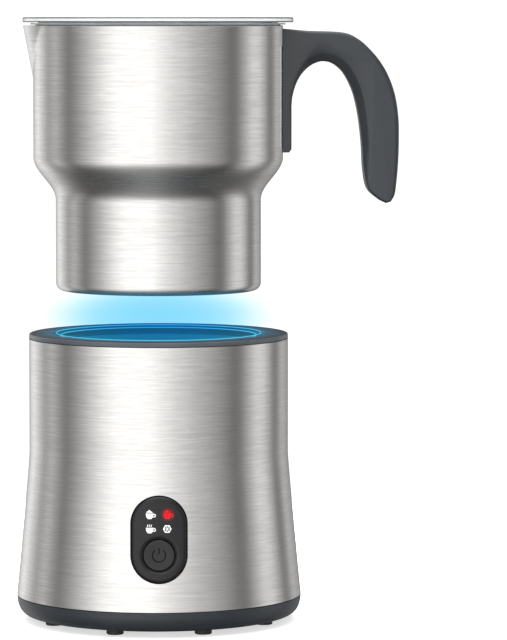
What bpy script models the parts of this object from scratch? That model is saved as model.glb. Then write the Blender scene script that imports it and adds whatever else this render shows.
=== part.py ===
"""Milk frother: a steel jug with a clear lid, a magnetic whisk and a moulded handle, above its base.

Metres, +Z up. The turned axis of the jug and the base stands at x = AXIS_X, so that the origin is in the
middle of the whole object's footprint, on the surface it stands on. The front panel faces -Y, the handle +X
and the spout -X. The jug is held HOLD_GAP clear of the base's rim, on the line along which it lifts out.
"""

import math

import bmesh
import bpy
from mathutils import Vector

# ---------------------------------------------------------------- driving dimensions
FIT = 0.0003  # gap between pieces that touch
SEGMENTS = 36  # sides of the large turned pieces
FINE = 40  # sides of the jug
COARSE = 12  # sides of small round pieces

# base, outside
BASE_RADIUS = 0.0516  # skin, above its flare
FLARE = 0.0052  # how far the skin's lower edge stands out
FLARE_TOP = 0.0672  # height at which the flare begins
FLARE_POWER = 1.1
FOOT_COUNT = 8
FOOT_RADIUS = 0.0035
FOOT_HEIGHT = 0.0022  # below the pan
FOOT_RECESS = 0.001
FOOT_INSET = 0.0118  # the feet's middles inside the pan's edge
PAN_HEIGHT = 0.008
PAN_WALL = 0.0022
LIP_HEIGHT = 0.0045  # the pan's lip inside the skin
LIP_GAP = 0.001  # between the lip and the skin
SKIN_HEIGHT = 0.1023
SKIN_WALL = 0.0006
RING_THICKNESS = 0.0017
RING_SKIRT = 0.0078
RING_WALL = 0.0016
RIM_WIDTH = 0.0108  # from the skin's outside in to the jug's foot
MOUTH_STEP = 0.0004  # each of the two steps inside the ring's mouth
UPPER_STEP_DEPTH = 0.001
LOWER_STEP_DEPTH = 0.0029
LAND_THICKNESS = 0.0007  # of the ring over the well's flange

# base, inside
SEAT_DEPTH = 0.033  # the jug's bottom below the ring's top when it is seated
WELL_CLEARANCE = 0.0006  # between the jug's wall and the well's
WELL_WALL = 0.0016
WELL_CORNER = 0.0028
SHIELD_GAP = 0.0012  # between the well and the aluminium shield round it
SHIELD_WALL = 0.0008
HOUSING_WALL = 0.0016
HOUSING_GAP = 0.0008  # between the skin and the housing above the flare
BOSS_RADIUS = 0.004
PAN_SCREW_COUNT = 4
SCREW_RADIUS = 0.0015
SCREW_HEAD_RADIUS = 0.0029
SCREW_HEAD = 0.0009
COIL_MARGIN = 0.0054  # the coil's edge inside the well's wall
COIL_HOLE_GAP = 0.005  # between the magnet rotor and the coil round it
COIL_THICKNESS = 0.004
SENSOR_RADIUS = 0.0018
CARRIER_MARGIN = 0.0029  # the carrier's edge inside the well's wall
CARRIER_THICKNESS = 0.002
FERRITE_COUNT = 4
FERRITE_INSET = 0.003  # the bars' ends inside the carrier's edge
FERRITE_HUB_GAP = 0.0055  # between the bars and the magnet rotor's edge
FERRITE_WIDTH = 0.005
FERRITE_DEPTH = 0.0027
ROTOR_RADIUS = 0.014
ROTOR_THICKNESS = 0.004
ROTOR_SETBACK = 0.0002  # its top below the coil's
MAGNET_RADIUS = 0.003
MAGNET_THICKNESS = 0.0024
MAGNET_CIRCLE = 0.009
MOTOR_RADIUS = 0.012
MOTOR_HEIGHT = 0.0245
MOTOR_GAP = 0.0055  # between the motor and the rotor over it
SHAFT_RADIUS = 0.001
BOARD_THICKNESS = 0.0016
POWER_BOARD_MARGIN = 0.009  # the board's corners inside the housing
POWER_BOARD_ANGLE = math.radians(38.9)  # of its corners, from +X
POWER_BOARD_LIFT = 0.0135  # above the pan's floor
POST_RADIUS = 0.0028
CAPACITOR_RADIUS = 0.005
CAPACITOR_HEIGHT = 0.017
CHOKE_RADIUS = 0.0085
SINK_SIZE = (0.021, 0.0105, 0.016)
SINK_FINS = 5

# control panel
PANEL_WIDTH = 0.0217
PANEL_HEIGHT = 0.0336
PANEL_BOTTOM = 0.0218
PANEL_PROUD = 0.0007  # beyond the skin
PANEL_FACE = 0.001  # face left over the light guides
PANEL_DEPTH = 0.0051  # from the skin in to the panel's flat back
BUTTON_RADIUS = 0.0061
BUTTON_RECESS_RADIUS = 0.007
BUTTON_RECESS_DEPTH = 0.0013
BUTTON_TRAVEL = 0.0006
BUTTON_SLACK = 0.0005  # left between the stem and the switch with the button pressed
BUTTON_DROP = 0.0003  # the button's face below the panel's
BUTTON_DISH = 0.00025
BUTTON_THICKNESS = 0.005
BUTTON_STEM = 0.0018
ICON_PITCH = (0.0065, 0.0056)  # across, up
ICON_HEIGHT = 0.0238  # middle of the four icons above the panel's bottom
GUIDE_RADIUS = 0.0019
LED_SIZE = 0.003
LED_THICKNESS = 0.0012
SWITCH_SIZE = 0.006
SWITCH_THICKNESS = 0.0022
CONTROL_BOARD_GAP = 0.0024  # behind the panel's back
CONTROL_BOARD_MARGIN = 0.002  # the board's ends inside the panel's
CONTROL_BOARD_EDGE = 0.0015  # the board's sides inside the panel's

# cord gland
GLAND_HEIGHT = 0.0225
GLAND_RADIUS = 0.0042
GLAND_BORE = 0.0026
GLAND_PROUD = 0.0013
GLAND_DEPTH = 0.007

# jug
HOLD_GAP = 0.0172  # the jug's bottom above the ring's top as it is held
JUG_SHOULDER = 0.0088  # how much wider the jug is above its shoulder
JUG_HEIGHT = 0.105
JUG_WALL = 0.0007
JUG_CORNER = 0.003
SHOULDER_BOTTOM = 0.036  # above the jug's bottom
SHOULDER_HEIGHT = 0.017
SPOUT_LEAN = 0.004
SPOUT_HEIGHT = 0.021
SPOUT_HALF_ANGLE = math.radians(21)
POST_FOOT_RADIUS = 0.0045
POST_FOOT_THICKNESS = 0.0006
POST_PIN_RADIUS = 0.0015
POST_PIN_HEIGHT = 0.0128

# lid
LID_OVERHANG = 0.0041  # beyond the jug's rim
LID_THICKNESS = 0.002
LID_SKIRT = 0.0068
LID_SKIRT_WALL = 0.0013
GASKET_OVERHANG = 0.001  # beyond the jug's rim
GASKET_THICKNESS = 0.0007
GASKET_DEPTH = 0.005

# whisk
WHISK_LIFT = 0.0013  # its underside above the jug's floor
WHISK_RADIUS = 0.0113
WHISK_THICKNESS = 0.004
WHISK_HUB_RADIUS = 0.004
WHISK_HUB_HEIGHT = 0.015
WHISK_COIL_RADIUS = 0.0022  # of the coil's own section
WHISK_MAGNET_RADIUS = 0.0022
WHISK_MAGNET_CIRCLE = 0.0072

# handle
HANDLE_REACH = 0.0456  # its outermost point beyond the jug's wall
HANDLE_WIDTH = 0.02
HANDLE_EDGE = 0.0006
HANDLE_TOP_DROP = 0.0013  # the handle's root below the jug's rim
STRAP_THICKNESS = 0.0018
STRAP_LENGTH = 0.0502  # from the jug's rim to the strap's lower end
BRACKET_THICKNESS = 0.0008
BRACKET_HALF_ANGLE = math.radians(9)
BRACKET_TOP_DROP = 0.008
HANDLE_SCREW_RADIUS = 0.0012
HANDLE_SCREW_HEAD_RADIUS = 0.0022
HANDLE_SCREW_HEAD = 0.0008
HANDLE_SCREW_DROPS = (0.033, 0.0445)  # below the jug's rim

# ---------------------------------------------------------------- derived sizes and places
PAN_BOTTOM = FOOT_HEIGHT
PAN_TOP = PAN_BOTTOM + PAN_HEIGHT
PAN_FLOOR = PAN_BOTTOM + PAN_WALL
SKIN_BOTTOM = PAN_TOP + FIT
SKIN_TOP = SKIN_BOTTOM + SKIN_HEIGHT
RING_BOTTOM = SKIN_TOP + FIT
BASE_TOP = RING_BOTTOM + RING_THICKNESS
PAN_RADIUS = BASE_RADIUS + FLARE
FOOT_CIRCLE = PAN_RADIUS - FOOT_INSET
SKIN_INSIDE = BASE_RADIUS - SKIN_WALL
HOUSING_RADIUS = SKIN_INSIDE - HOUSING_GAP
HOUSING_INSIDE = HOUSING_RADIUS - HOUSING_WALL
BOSS_CIRCLE = HOUSING_INSIDE - BOSS_RADIUS + 0.0006

JUG_FOOT_RADIUS = BASE_RADIUS - RIM_WIDTH
WELL_RADIUS = JUG_FOOT_RADIUS + WELL_CLEARANCE
WELL_OUTSIDE = WELL_RADIUS + WELL_WALL
WELL_FLOOR = BASE_TOP - SEAT_DEPTH - FIT
WELL_UNDERSIDE = WELL_FLOOR - WELL_WALL
LINER_TOP = BASE_TOP - LOWER_STEP_DEPTH - LAND_THICKNESS - FIT
COIL_TOP = WELL_UNDERSIDE - FIT
COIL_RADIUS = WELL_RADIUS - COIL_MARGIN
COIL_HOLE_RADIUS = ROTOR_RADIUS + COIL_HOLE_GAP
CARRIER_RADIUS = WELL_RADIUS - CARRIER_MARGIN
CARRIER_TOP = COIL_TOP - COIL_THICKNESS - FIT
CARRIER_BOTTOM = CARRIER_TOP - CARRIER_THICKNESS
FERRITE_OUTSIDE = CARRIER_RADIUS - FERRITE_INSET
FERRITE_INSIDE = ROTOR_RADIUS + FERRITE_HUB_GAP
ROTOR_TOP = COIL_TOP - ROTOR_SETBACK
ROTOR_BOTTOM = ROTOR_TOP - ROTOR_THICKNESS
MOTOR_TOP = ROTOR_BOTTOM - MOTOR_GAP
MOTOR_BOTTOM = MOTOR_TOP - MOTOR_HEIGHT
POWER_BOARD_BOTTOM = PAN_FLOOR + POWER_BOARD_LIFT
POWER_BOARD_TOP = POWER_BOARD_BOTTOM + BOARD_THICKNESS

BUTTON_HEIGHT = PANEL_BOTTOM + PANEL_WIDTH / 2
PANEL_BACK = BASE_RADIUS - PANEL_DEPTH
CONTROL_BOARD_FRONT = PANEL_BACK - CONTROL_BOARD_GAP
CONTROL_BOARD_TOP = PANEL_BOTTOM + PANEL_HEIGHT - CONTROL_BOARD_MARGIN

JUG_BOTTOM = BASE_TOP + HOLD_GAP
JUG_RADIUS = JUG_FOOT_RADIUS + JUG_SHOULDER
JUG_INSIDE = JUG_RADIUS - JUG_WALL
LID_RADIUS = JUG_RADIUS + LID_OVERHANG
BRACKET_INSIDE = JUG_RADIUS + FIT
BRACKET_OUTSIDE = BRACKET_INSIDE + BRACKET_THICKNESS
STRAP_INSIDE = BRACKET_OUTSIDE + FIT
STRAP_OUTSIDE = STRAP_INSIDE + STRAP_THICKNESS
AXIS_X = -(JUG_RADIUS + HANDLE_REACH - PAN_RADIUS) / 2


def skin_radius(height):
    """Outside radius of the skin: straight above FLARE_TOP, and below it growing by a power of the depth."""
    depth = (FLARE_TOP - height) / (FLARE_TOP - PAN_TOP)
    return BASE_RADIUS + FLARE * min(max(depth, 0.0), 1.0) ** FLARE_POWER


def skin_tilt(height):
    """Angle by which the skin's outward normal looks up at this height."""
    step = 0.001
    return math.atan((skin_radius(height - step) - skin_radius(height + step)) / (2 * step))


# ---------------------------------------------------------------- scene and materials
for old in list(bpy.data.objects):
    bpy.data.objects.remove(old)

model = bpy.data.collections.new("milk_frother")
cutters = bpy.data.collections.new("cutters")
bpy.context.scene.collection.children.link(model)
bpy.context.scene.collection.children.link(cutters)


def material(name, colour, roughness, metallic=0.0):
    """A Principled material of one colour."""
    made = bpy.data.materials.new(name)
    made.use_nodes = True
    shader = made.node_tree.nodes["Principled BSDF"]
    shader.inputs["Base Color"].default_value = (*colour, 1.0)
    shader.inputs["Roughness"].default_value = roughness
    shader.inputs["Metallic"].default_value = metallic
    return made


STEEL = material("brushed_steel", (0.60, 0.59, 0.57), 0.32, 1.0)
PLAIN_STEEL = material("plain_steel", (0.55, 0.55, 0.55), 0.35, 1.0)
SLATE = material("slate_plastic", (0.075, 0.09, 0.105), 0.45)
DARK = material("dark_plastic", (0.03, 0.035, 0.04), 0.4)
GLOSS = material("panel_black", (0.012, 0.012, 0.014), 0.18)
CLEAR = material("clear_plastic", (0.85, 0.87, 0.88), 0.1)
RUBBER = material("rubber", (0.02, 0.02, 0.02), 0.7)
SILICONE = material("silicone", (0.35, 0.36, 0.37), 0.55)
COPPER = material("copper_wire", (0.72, 0.33, 0.16), 0.35, 1.0)
FERRITE = material("ferrite", (0.05, 0.05, 0.055), 0.6)
MAGNET = material("nickel_magnet", (0.62, 0.62, 0.6), 0.25, 1.0)
BOARD = material("circuit_board", (0.02, 0.16, 0.07), 0.5)
ALUMINIUM = material("aluminium", (0.7, 0.7, 0.7), 0.4, 1.0)
HOUSING = material("housing_plastic", (0.28, 0.29, 0.3), 0.55)
LED = material("led_epoxy", (0.85, 0.84, 0.75), 0.25)

# ---------------------------------------------------------------- frames that pieces stand in


def frame(name, parent=None, place=(0, 0, 0), turn=(0, 0, 0)):
    """An empty that carries the pieces of one body."""
    empty = bpy.data.objects.new(name, None)
    empty.empty_display_size = 0.01
    empty.location = place
    empty.rotation_euler = turn
    empty.parent = parent
    model.objects.link(empty)
    return empty


button_tilt = skin_tilt(BUTTON_HEIGHT)
button_face = skin_radius(BUTTON_HEIGHT) + PANEL_PROUD
base = frame("base_frame", place=(AXIS_X, 0, 0))
rotor = frame("rotor_frame", base, (0, 0, ROTOR_BOTTOM))
button = frame("button_frame", base, (0, -button_face, BUTTON_HEIGHT), (math.pi / 2 - button_tilt, 0, 0))
jug = frame("jug_frame", base, (0, 0, JUG_BOTTOM))
lid = frame("lid_frame", jug, (0, 0, JUG_HEIGHT))
whisk = frame("whisk_frame", jug, (0, 0, JUG_WALL + WHISK_LIFT))

# ---------------------------------------------------------------- modelling helpers


def place(name, mesh, parent, look, location=(0, 0, 0), turn=(0, 0, 0)):
    """A named piece in the model, or a wire cutter when it has no material."""
    piece = bpy.data.objects.new(name, mesh)
    piece.parent = parent
    piece.location = location
    piece.rotation_euler = turn
    if look is None:
        piece.hide_render = True
        piece.display_type = "WIRE"
        cutters.objects.link(piece)
    else:
        mesh.materials.append(look)
        model.objects.link(piece)
    return piece


def mesh_of(name, shape):
    """A mesh from a bmesh, shaded smooth with its edges sharp."""
    mesh = bpy.data.meshes.new(name)
    shape.to_mesh(mesh)
    shape.free()
    mesh.shade_smooth()
    mesh.set_sharp_from_angle(angle=math.radians(30))
    return mesh


def turned(name, profile, parent, look, location=(0, 0, 0), segments=SEGMENTS, turn=(0, 0, 0)):
    """A profile of (radius, height) points, clockwise with the axis on its left, turned about Z.

    A profile that begins and ends on the axis makes a solid; any other is closed on itself and makes a ring.
    """
    mesh = bpy.data.meshes.new(name)
    count = len(profile)
    on_axis = profile[0][0] == 0 and profile[-1][0] == 0
    edges = [(i, (i + 1) % count) for i in range(count - 1 if on_axis else count)]
    mesh.from_pydata([(radius, 0, height) for radius, height in profile], edges, [])
    piece = place(name, mesh, parent, look, location, turn)
    screw = piece.modifiers.new("turn", "SCREW")
    screw.steps = screw.render_steps = segments
    screw.use_merge_vertices = True
    screw.merge_threshold = 1e-6
    return piece


def rod(name, radius, low, high, parent, look, location=(0, 0, 0), turn=(0, 0, 0), segments=COARSE):
    """A cylinder about its own Z from low to high."""
    shape = bmesh.new()
    bmesh.ops.create_cone(
        shape, cap_ends=True, segments=segments, radius1=radius, radius2=radius, depth=high - low
    )
    bmesh.ops.translate(shape, verts=shape.verts, vec=(0, 0, (low + high) / 2))
    return place(name, mesh_of(name, shape), parent, look, location, turn)


def block(name, size, parent, look, location, turn=(0, 0, 0), edge=0.0):
    """A box about its own middle, with its edges bevelled where edge is given."""
    shape = bmesh.new()
    bmesh.ops.create_cube(shape, size=1.0)
    bmesh.ops.scale(shape, verts=shape.verts, vec=size)
    piece = place(name, mesh_of(name, shape), parent, look, location, turn)
    if edge:
        rounding = piece.modifiers.new("edge", "BEVEL")
        rounding.width = edge
        rounding.segments = 1
    return piece


def outline(name, points, thickness, parent, look, turn=(0, 0, 0), location=(0, 0, 0)):
    """A flat closed outline with a thickness, centred on its plane, as a welded mesh."""
    curve = bpy.data.curves.new(name, "CURVE")
    curve.dimensions = "2D"
    curve.fill_mode = "BOTH"
    curve.extrude = thickness / 2
    spline = curve.splines.new("POLY")
    spline.points.add(len(points) - 1)
    for point, (across, up) in zip(spline.points, points):
        point.co = (across, up, 0, 1)
    spline.use_cyclic_u = True
    guide = bpy.data.objects.new(name + "_outline", curve)
    cutters.objects.link(guide)
    evaluated = guide.evaluated_get(bpy.context.evaluated_depsgraph_get())
    mesh = bpy.data.meshes.new_from_object(evaluated)
    bpy.data.objects.remove(guide)
    shape = bmesh.new()
    shape.from_mesh(mesh)
    bpy.data.meshes.remove(mesh)
    bmesh.ops.remove_doubles(shape, verts=shape.verts, dist=1e-6)
    bmesh.ops.recalc_face_normals(shape, faces=shape.faces)
    return place(name, mesh_of(name, shape), parent, look, location, turn)


def combine(piece, other, operation):
    """An exact Boolean of piece with a cutter."""
    step = piece.modifiers.new(operation.lower(), "BOOLEAN")
    step.object = other
    step.operation = operation


def arc(centre, radius, start, end, steps):
    """Points on an arc, from start to end in degrees."""
    angles = [math.radians(start + (end - start) * i / steps) for i in range(steps + 1)]
    return [(centre[0] + radius * math.cos(a), centre[1] + radius * math.sin(a)) for a in angles]


def smooth_run(knots, steps):
    """Points on a Catmull-Rom curve through knots, ends included."""
    ends = [Vector(k) for k in knots]
    ends = [2 * ends[0] - ends[1], *ends, 2 * ends[-1] - ends[-2]]
    points = []
    for i in range(1, len(ends) - 2):
        before, here, there, after = ends[i - 1 : i + 3]
        for k in range(steps):
            t = k / steps
            way = (
                2 * here
                + (there - before) * t
                + (2 * before - 5 * here + 4 * there - after) * t**2
                + (3 * here - before - 3 * there + after) * t**3
            ) / 2
            points.append(tuple(way))
    return [*points, tuple(knots[-1])]


def around(radius, count, start):
    """Places evenly round a circle, with their angles."""
    for i in range(count):
        angle = start + 2 * math.pi * i / count
        yield i + 1, angle, radius * math.cos(angle), radius * math.sin(angle)


# ---------------------------------------------------------------- base: skin, ring, pan, feet
def make_skin():
    """The steel sleeve, open where the panel and the cord gland come through."""
    steps = 4
    heights = [SKIN_TOP] + [FLARE_TOP + (SKIN_BOTTOM - FLARE_TOP) * i / steps for i in range(steps + 1)]
    outside = [(skin_radius(z), z) for z in heights]
    inside = [(skin_radius(z) - SKIN_WALL, z) for z in reversed(heights)]
    return turned("outer_skin", outside + inside, base, STEEL)


def make_ring():
    """The rim of the base: a flat ring with a skirt inside the skin and two steps down into its mouth."""
    skirt = SKIN_INSIDE - FIT
    edge = 0.0006
    liner_clear = LINER_TOP + FIT
    mouth = WELL_RADIUS + 2 * MOUTH_STEP
    profile = [
        (mouth, BASE_TOP),
        (BASE_RADIUS - edge, BASE_TOP),
        (BASE_RADIUS, BASE_TOP - edge),
        (BASE_RADIUS, RING_BOTTOM),
        (skirt, RING_BOTTOM),
        (skirt, RING_BOTTOM - RING_SKIRT),
        (skirt - RING_WALL, RING_BOTTOM - RING_SKIRT),
        (skirt - RING_WALL, liner_clear),
        (WELL_RADIUS, liner_clear),
        (WELL_RADIUS, BASE_TOP - LOWER_STEP_DEPTH),
        (WELL_RADIUS + MOUTH_STEP, BASE_TOP - LOWER_STEP_DEPTH),
        (WELL_RADIUS + MOUTH_STEP, BASE_TOP - UPPER_STEP_DEPTH),
        (mouth, BASE_TOP - UPPER_STEP_DEPTH),
    ]
    return turned("top_ring", profile, base, SLATE)


def make_pan():
    """The bottom cover: a dish with a lip inside the skin, posts for the power board, and screw holes."""
    lip = skin_radius(SKIN_BOTTOM) - SKIN_WALL - LIP_GAP
    lip_top = SKIN_BOTTOM + LIP_HEIGHT
    profile = [
        (0, PAN_FLOOR),
        (PAN_RADIUS - 0.008, PAN_FLOOR),
        (PAN_RADIUS - 0.0042, PAN_FLOOR + 0.0012),
        (lip - PAN_WALL + 0.0006, PAN_TOP - PAN_WALL),
        (lip - PAN_WALL + 0.0006, lip_top),
        (lip, lip_top),
        (lip, PAN_TOP),
        (PAN_RADIUS, PAN_TOP),
        (PAN_RADIUS - 0.0004, PAN_TOP - 0.003),
        (PAN_RADIUS - 0.0028, PAN_BOTTOM + 0.001),
        (PAN_RADIUS - 0.0068, PAN_BOTTOM),
        (0, PAN_BOTTOM),
    ]
    pan = turned("base_pan", profile, base, DARK)
    post_top = POWER_BOARD_BOTTOM - FIT
    for i, x, y in power_board_corners():
        post = rod(f"pan_post_{i}", POST_RADIUS, PAN_FLOOR - 0.0005, post_top, base, None, (x, y, 0))
        combine(pan, post, "UNION")
    for i, _, x, y in around(FOOT_CIRCLE, FOOT_COUNT, math.pi / FOOT_COUNT):
        top = PAN_BOTTOM + FOOT_RECESS
        recess = rod(f"foot_recess_{i}", FOOT_RADIUS + FIT, 0, top, base, None, (x, y, 0))
        combine(pan, recess, "DIFFERENCE")
    sunk = PAN_BOTTOM + SCREW_HEAD + 2 * FIT
    for i, _, x, y in around(BOSS_CIRCLE, PAN_SCREW_COUNT, 0):
        counterbore = rod(f"screw_recess_{i}", SCREW_HEAD_RADIUS + FIT, 0, sunk, base, None, (x, y, 0))
        hole = rod(f"screw_hole_{i}", SCREW_RADIUS + FIT, 0, PAN_FLOOR + 0.002, base, None, (x, y, 0))
        combine(pan, counterbore, "DIFFERENCE")
        combine(pan, hole, "DIFFERENCE")
    return pan


def make_feet():
    """Round rubber feet, each let into the pan."""
    top = PAN_BOTTOM + FOOT_RECESS - FIT
    for i, _, x, y in around(FOOT_CIRCLE, FOOT_COUNT, math.pi / FOOT_COUNT):
        foot = rod(f"foot_{i}", FOOT_RADIUS, 0, top, base, RUBBER, (x, y, 0))
        rounding = foot.modifiers.new("edge", "BEVEL")
        rounding.width = 0.0004
        rounding.segments = 1
        rounding.limit_method = "ANGLE"


def make_housing():
    """The plastic inner shell that carries everything, with a boss for each pan screw."""
    bottom = SKIN_BOTTOM + 0.0062
    top = RING_BOTTOM - RING_SKIRT - FIT
    shell = ring_profile(HOUSING_INSIDE, HOUSING_RADIUS, bottom, top)
    housing = turned("inner_housing", shell, base, HOUSING)
    boss_bottom = PAN_FLOOR + 0.005
    boss_top = PANEL_BOTTOM - 0.0014
    for i, _, x, y in around(BOSS_CIRCLE, PAN_SCREW_COUNT, 0):
        boss = rod(f"boss_{i}", BOSS_RADIUS, boss_bottom, boss_top, base, None, (x, y, 0))
        hole = rod(f"boss_hole_{i}", SCREW_RADIUS + FIT, 0, boss_top - 0.0012, base, None, (x, y, 0))
        combine(housing, boss, "UNION")
        combine(housing, hole, "DIFFERENCE")
        screw = [
            (0, boss_top - 0.0018),
            (SCREW_RADIUS - 0.0005, boss_top - 0.0018),
            (SCREW_RADIUS, boss_top - 0.0026),
            (SCREW_RADIUS, PAN_BOTTOM + SCREW_HEAD + FIT),
            (SCREW_HEAD_RADIUS, PAN_BOTTOM + SCREW_HEAD + FIT),
            (SCREW_HEAD_RADIUS, PAN_BOTTOM + FIT),
            (0, PAN_BOTTOM + FIT),
        ]
        turned(f"pan_screw_{i}", screw, base, PLAIN_STEEL, (x, y, 0), COARSE)
    return housing


def make_well():
    """The plastic cup that the jug stands in, hung from the ring by its flange."""
    flange = SKIN_INSIDE - FIT - RING_WALL - 0.0007
    corner = (WELL_RADIUS - WELL_CORNER, WELL_FLOOR + WELL_CORNER)
    outer_corner = arc(corner, WELL_CORNER + WELL_WALL, 0, -90, 3)
    inner_corner = arc(corner, WELL_CORNER, -90, 0, 3)
    profile = [
        (0, WELL_FLOOR),
        *inner_corner,
        (WELL_RADIUS, LINER_TOP),
        (flange, LINER_TOP),
        (flange, LINER_TOP - WELL_WALL),
        (WELL_OUTSIDE, LINER_TOP - WELL_WALL),
        *outer_corner,
        (0, WELL_UNDERSIDE),
    ]
    return turned("well_liner", profile, base, SLATE)


# ---------------------------------------------------------------- base: drive and heating
def make_heating():
    """Induction coil under the well's floor on its carrier, ferrite bars, shield and temperature sensor."""
    coil = ring_profile(COIL_HOLE_RADIUS, COIL_RADIUS, COIL_TOP - COIL_THICKNESS, COIL_TOP)
    turned("induction_coil", coil, base, COPPER, segments=32)
    carrier = ring_profile(ROTOR_RADIUS + 0.0015, CARRIER_RADIUS, CARRIER_BOTTOM, CARRIER_TOP)
    turned("coil_carrier", carrier, base, HOUSING, segments=32)
    size = (FERRITE_OUTSIDE - FERRITE_INSIDE, FERRITE_WIDTH, FERRITE_DEPTH)
    height = CARRIER_BOTTOM - FIT - FERRITE_DEPTH / 2
    for i, angle, x, y in around((FERRITE_OUTSIDE + FERRITE_INSIDE) / 2, FERRITE_COUNT, math.radians(45)):
        block(f"ferrite_bar_{i}", size, base, FERRITE, (x, y, height), (0, 0, angle), 0.0004)
    shield = WELL_OUTSIDE + SHIELD_GAP
    shield_top = LINER_TOP - WELL_WALL - FIT
    shield_bottom = CONTROL_BOARD_TOP + 0.0025
    turned(
        "coil_shield", ring_profile(shield, shield + SHIELD_WALL, shield_bottom, shield_top), base, ALUMINIUM
    )
    sensor = (ROTOR_RADIUS + COIL_HOLE_RADIUS) / 2
    at = (0, sensor, 0)
    rod("temperature_sensor", SENSOR_RADIUS, CARRIER_TOP + FIT, COIL_TOP, base, ALUMINIUM, at, segments=16)


def ring_profile(inside, outside, low, high):
    """A square-cornered ring's section."""
    return [(outside, high), (outside, low), (inside, low), (inside, high)]


def make_motor():
    """The motor in its mount, and the magnet rotor that it turns under the well's floor."""
    bore_bottom = MOTOR_TOP - 0.006
    boss = 0.0035
    can = [
        (0, bore_bottom),
        (SHAFT_RADIUS + FIT, bore_bottom),
        (SHAFT_RADIUS + FIT, MOTOR_TOP),
        (boss, MOTOR_TOP),
        (boss, MOTOR_TOP - 0.0015),
        (MOTOR_RADIUS - 0.0012, MOTOR_TOP - 0.0015),
        (MOTOR_RADIUS, MOTOR_TOP - 0.0027),
        (MOTOR_RADIUS, MOTOR_BOTTOM + 0.001),
        (MOTOR_RADIUS - 0.001, MOTOR_BOTTOM),
        (0, MOTOR_BOTTOM),
    ]
    turned("motor_can", can, base, PLAIN_STEEL, segments=20)
    flange = FERRITE_INSIDE - 0.001
    top = CARRIER_BOTTOM - FIT
    bottom = MOTOR_BOTTOM + 0.012
    sleeve = MOTOR_RADIUS + FIT
    mount = [
        (flange, top),
        (flange, top - 0.0024),
        (sleeve + 0.0016, top - 0.0024),
        (sleeve + 0.0016, bottom),
        (sleeve, bottom),
        (sleeve, top),
    ]
    turned("motor_mount", mount, base, HOUSING, segments=28)
    shaft_bottom = bore_bottom + FIT - ROTOR_BOTTOM
    shaft_top = ROTOR_THICKNESS - 0.001
    rod("motor_shaft", SHAFT_RADIUS, shaft_bottom, shaft_top - FIT, rotor, PLAIN_STEEL, segments=12)
    disc = [
        (0, ROTOR_THICKNESS),
        (ROTOR_RADIUS - 0.0004, ROTOR_THICKNESS),
        (ROTOR_RADIUS, ROTOR_THICKNESS - 0.0004),
        (ROTOR_RADIUS, 0.0004),
        (ROTOR_RADIUS - 0.0004, 0),
        (SHAFT_RADIUS + FIT, 0),
        (SHAFT_RADIUS + FIT, shaft_top),
        (0, shaft_top),
    ]
    disc = turned("magnet_rotor", disc, rotor, DARK, segments=28)
    floor = ROTOR_THICKNESS - MAGNET_THICKNESS
    for i, _, x, y in around(MAGNET_CIRCLE, 2, 0):
        pocket = rod(f"rotor_pocket_{i}", MAGNET_RADIUS + FIT, floor - FIT, 0.01, rotor, None, (x, y, 0))
        combine(disc, pocket, "DIFFERENCE")
        rod(f"drive_magnet_{i}", MAGNET_RADIUS, floor, ROTOR_THICKNESS, rotor, MAGNET, (x, y, 0))


# ---------------------------------------------------------------- base: electronics
def power_board_size():
    """The board's width and depth, with its corners POWER_BOARD_MARGIN inside the housing."""
    reach = HOUSING_INSIDE - POWER_BOARD_MARGIN
    return 2 * reach * math.cos(POWER_BOARD_ANGLE), 2 * reach * math.sin(POWER_BOARD_ANGLE)


def power_board_corners():
    """The four places where the power board stands on the pan's posts."""
    width, depth = power_board_size()
    signs = ((-1, -1), (1, -1), (1, 1), (-1, 1))
    return [(i + 1, a * (width / 2 - 0.005), b * (depth / 2 - 0.005)) for i, (a, b) in enumerate(signs)]


def make_power_board():
    """The mains board over the pan with its capacitor, choke and finned heat sink."""
    width, depth = power_board_size()
    middle = (POWER_BOARD_BOTTOM + POWER_BOARD_TOP) / 2
    block("power_board", (width, depth, BOARD_THICKNESS), base, BOARD, (0, 0, middle))
    stand = POWER_BOARD_TOP + FIT
    capacitor = [
        (0, CAPACITOR_HEIGHT),
        (CAPACITOR_RADIUS - 0.0005, CAPACITOR_HEIGHT),
        (CAPACITOR_RADIUS, CAPACITOR_HEIGHT - 0.0005),
        (CAPACITOR_RADIUS, 0),
        (0, 0),
    ]
    turned("capacitor", capacitor, base, DARK, (-0.02, 0.012, stand), COARSE)
    choke = arc((CHOKE_RADIUS - 0.003, 0.003), 0.003, 180, -180, 6)[:-1]
    turned("choke", choke, base, COPPER, (-0.017, -0.009, stand), 16)
    long, deep, tall = SINK_SIZE
    pitch = long / (2 * SINK_FINS - 1)
    comb = [(0, 0), (long, 0)]
    for i in range(SINK_FINS):
        right = long - 2 * i * pitch
        comb += [(right, tall), (right - pitch, tall)]
        if i < SINK_FINS - 1:
            comb += [(right - pitch, 0.003), (right - 2 * pitch, 0.003)]
    outline("heat_sink", [(x - long / 2, z) for x, z in comb], deep, base, ALUMINIUM, (math.pi / 2, 0, 0),
            (0.014, 0.008, stand))


def icon_places():
    """The middles of the four icons on the panel: number, across, height."""
    across, up = ICON_PITCH[0] / 2, ICON_PITCH[1] / 2
    middle = PANEL_BOTTOM + ICON_HEIGHT
    corners = ((-1, 1), (1, 1), (-1, -1), (1, -1))
    return [(i + 1, a * across, middle + b * up) for i, (a, b) in enumerate(corners)]


def stadium(width, height, steps=10):
    """A tall outline with round ends about its own middle."""
    radius = width / 2
    straight = height / 2 - radius
    return arc((0, straight), radius, 0, 180, steps) + arc((0, -straight), radius, 180, 360, steps)


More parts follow.
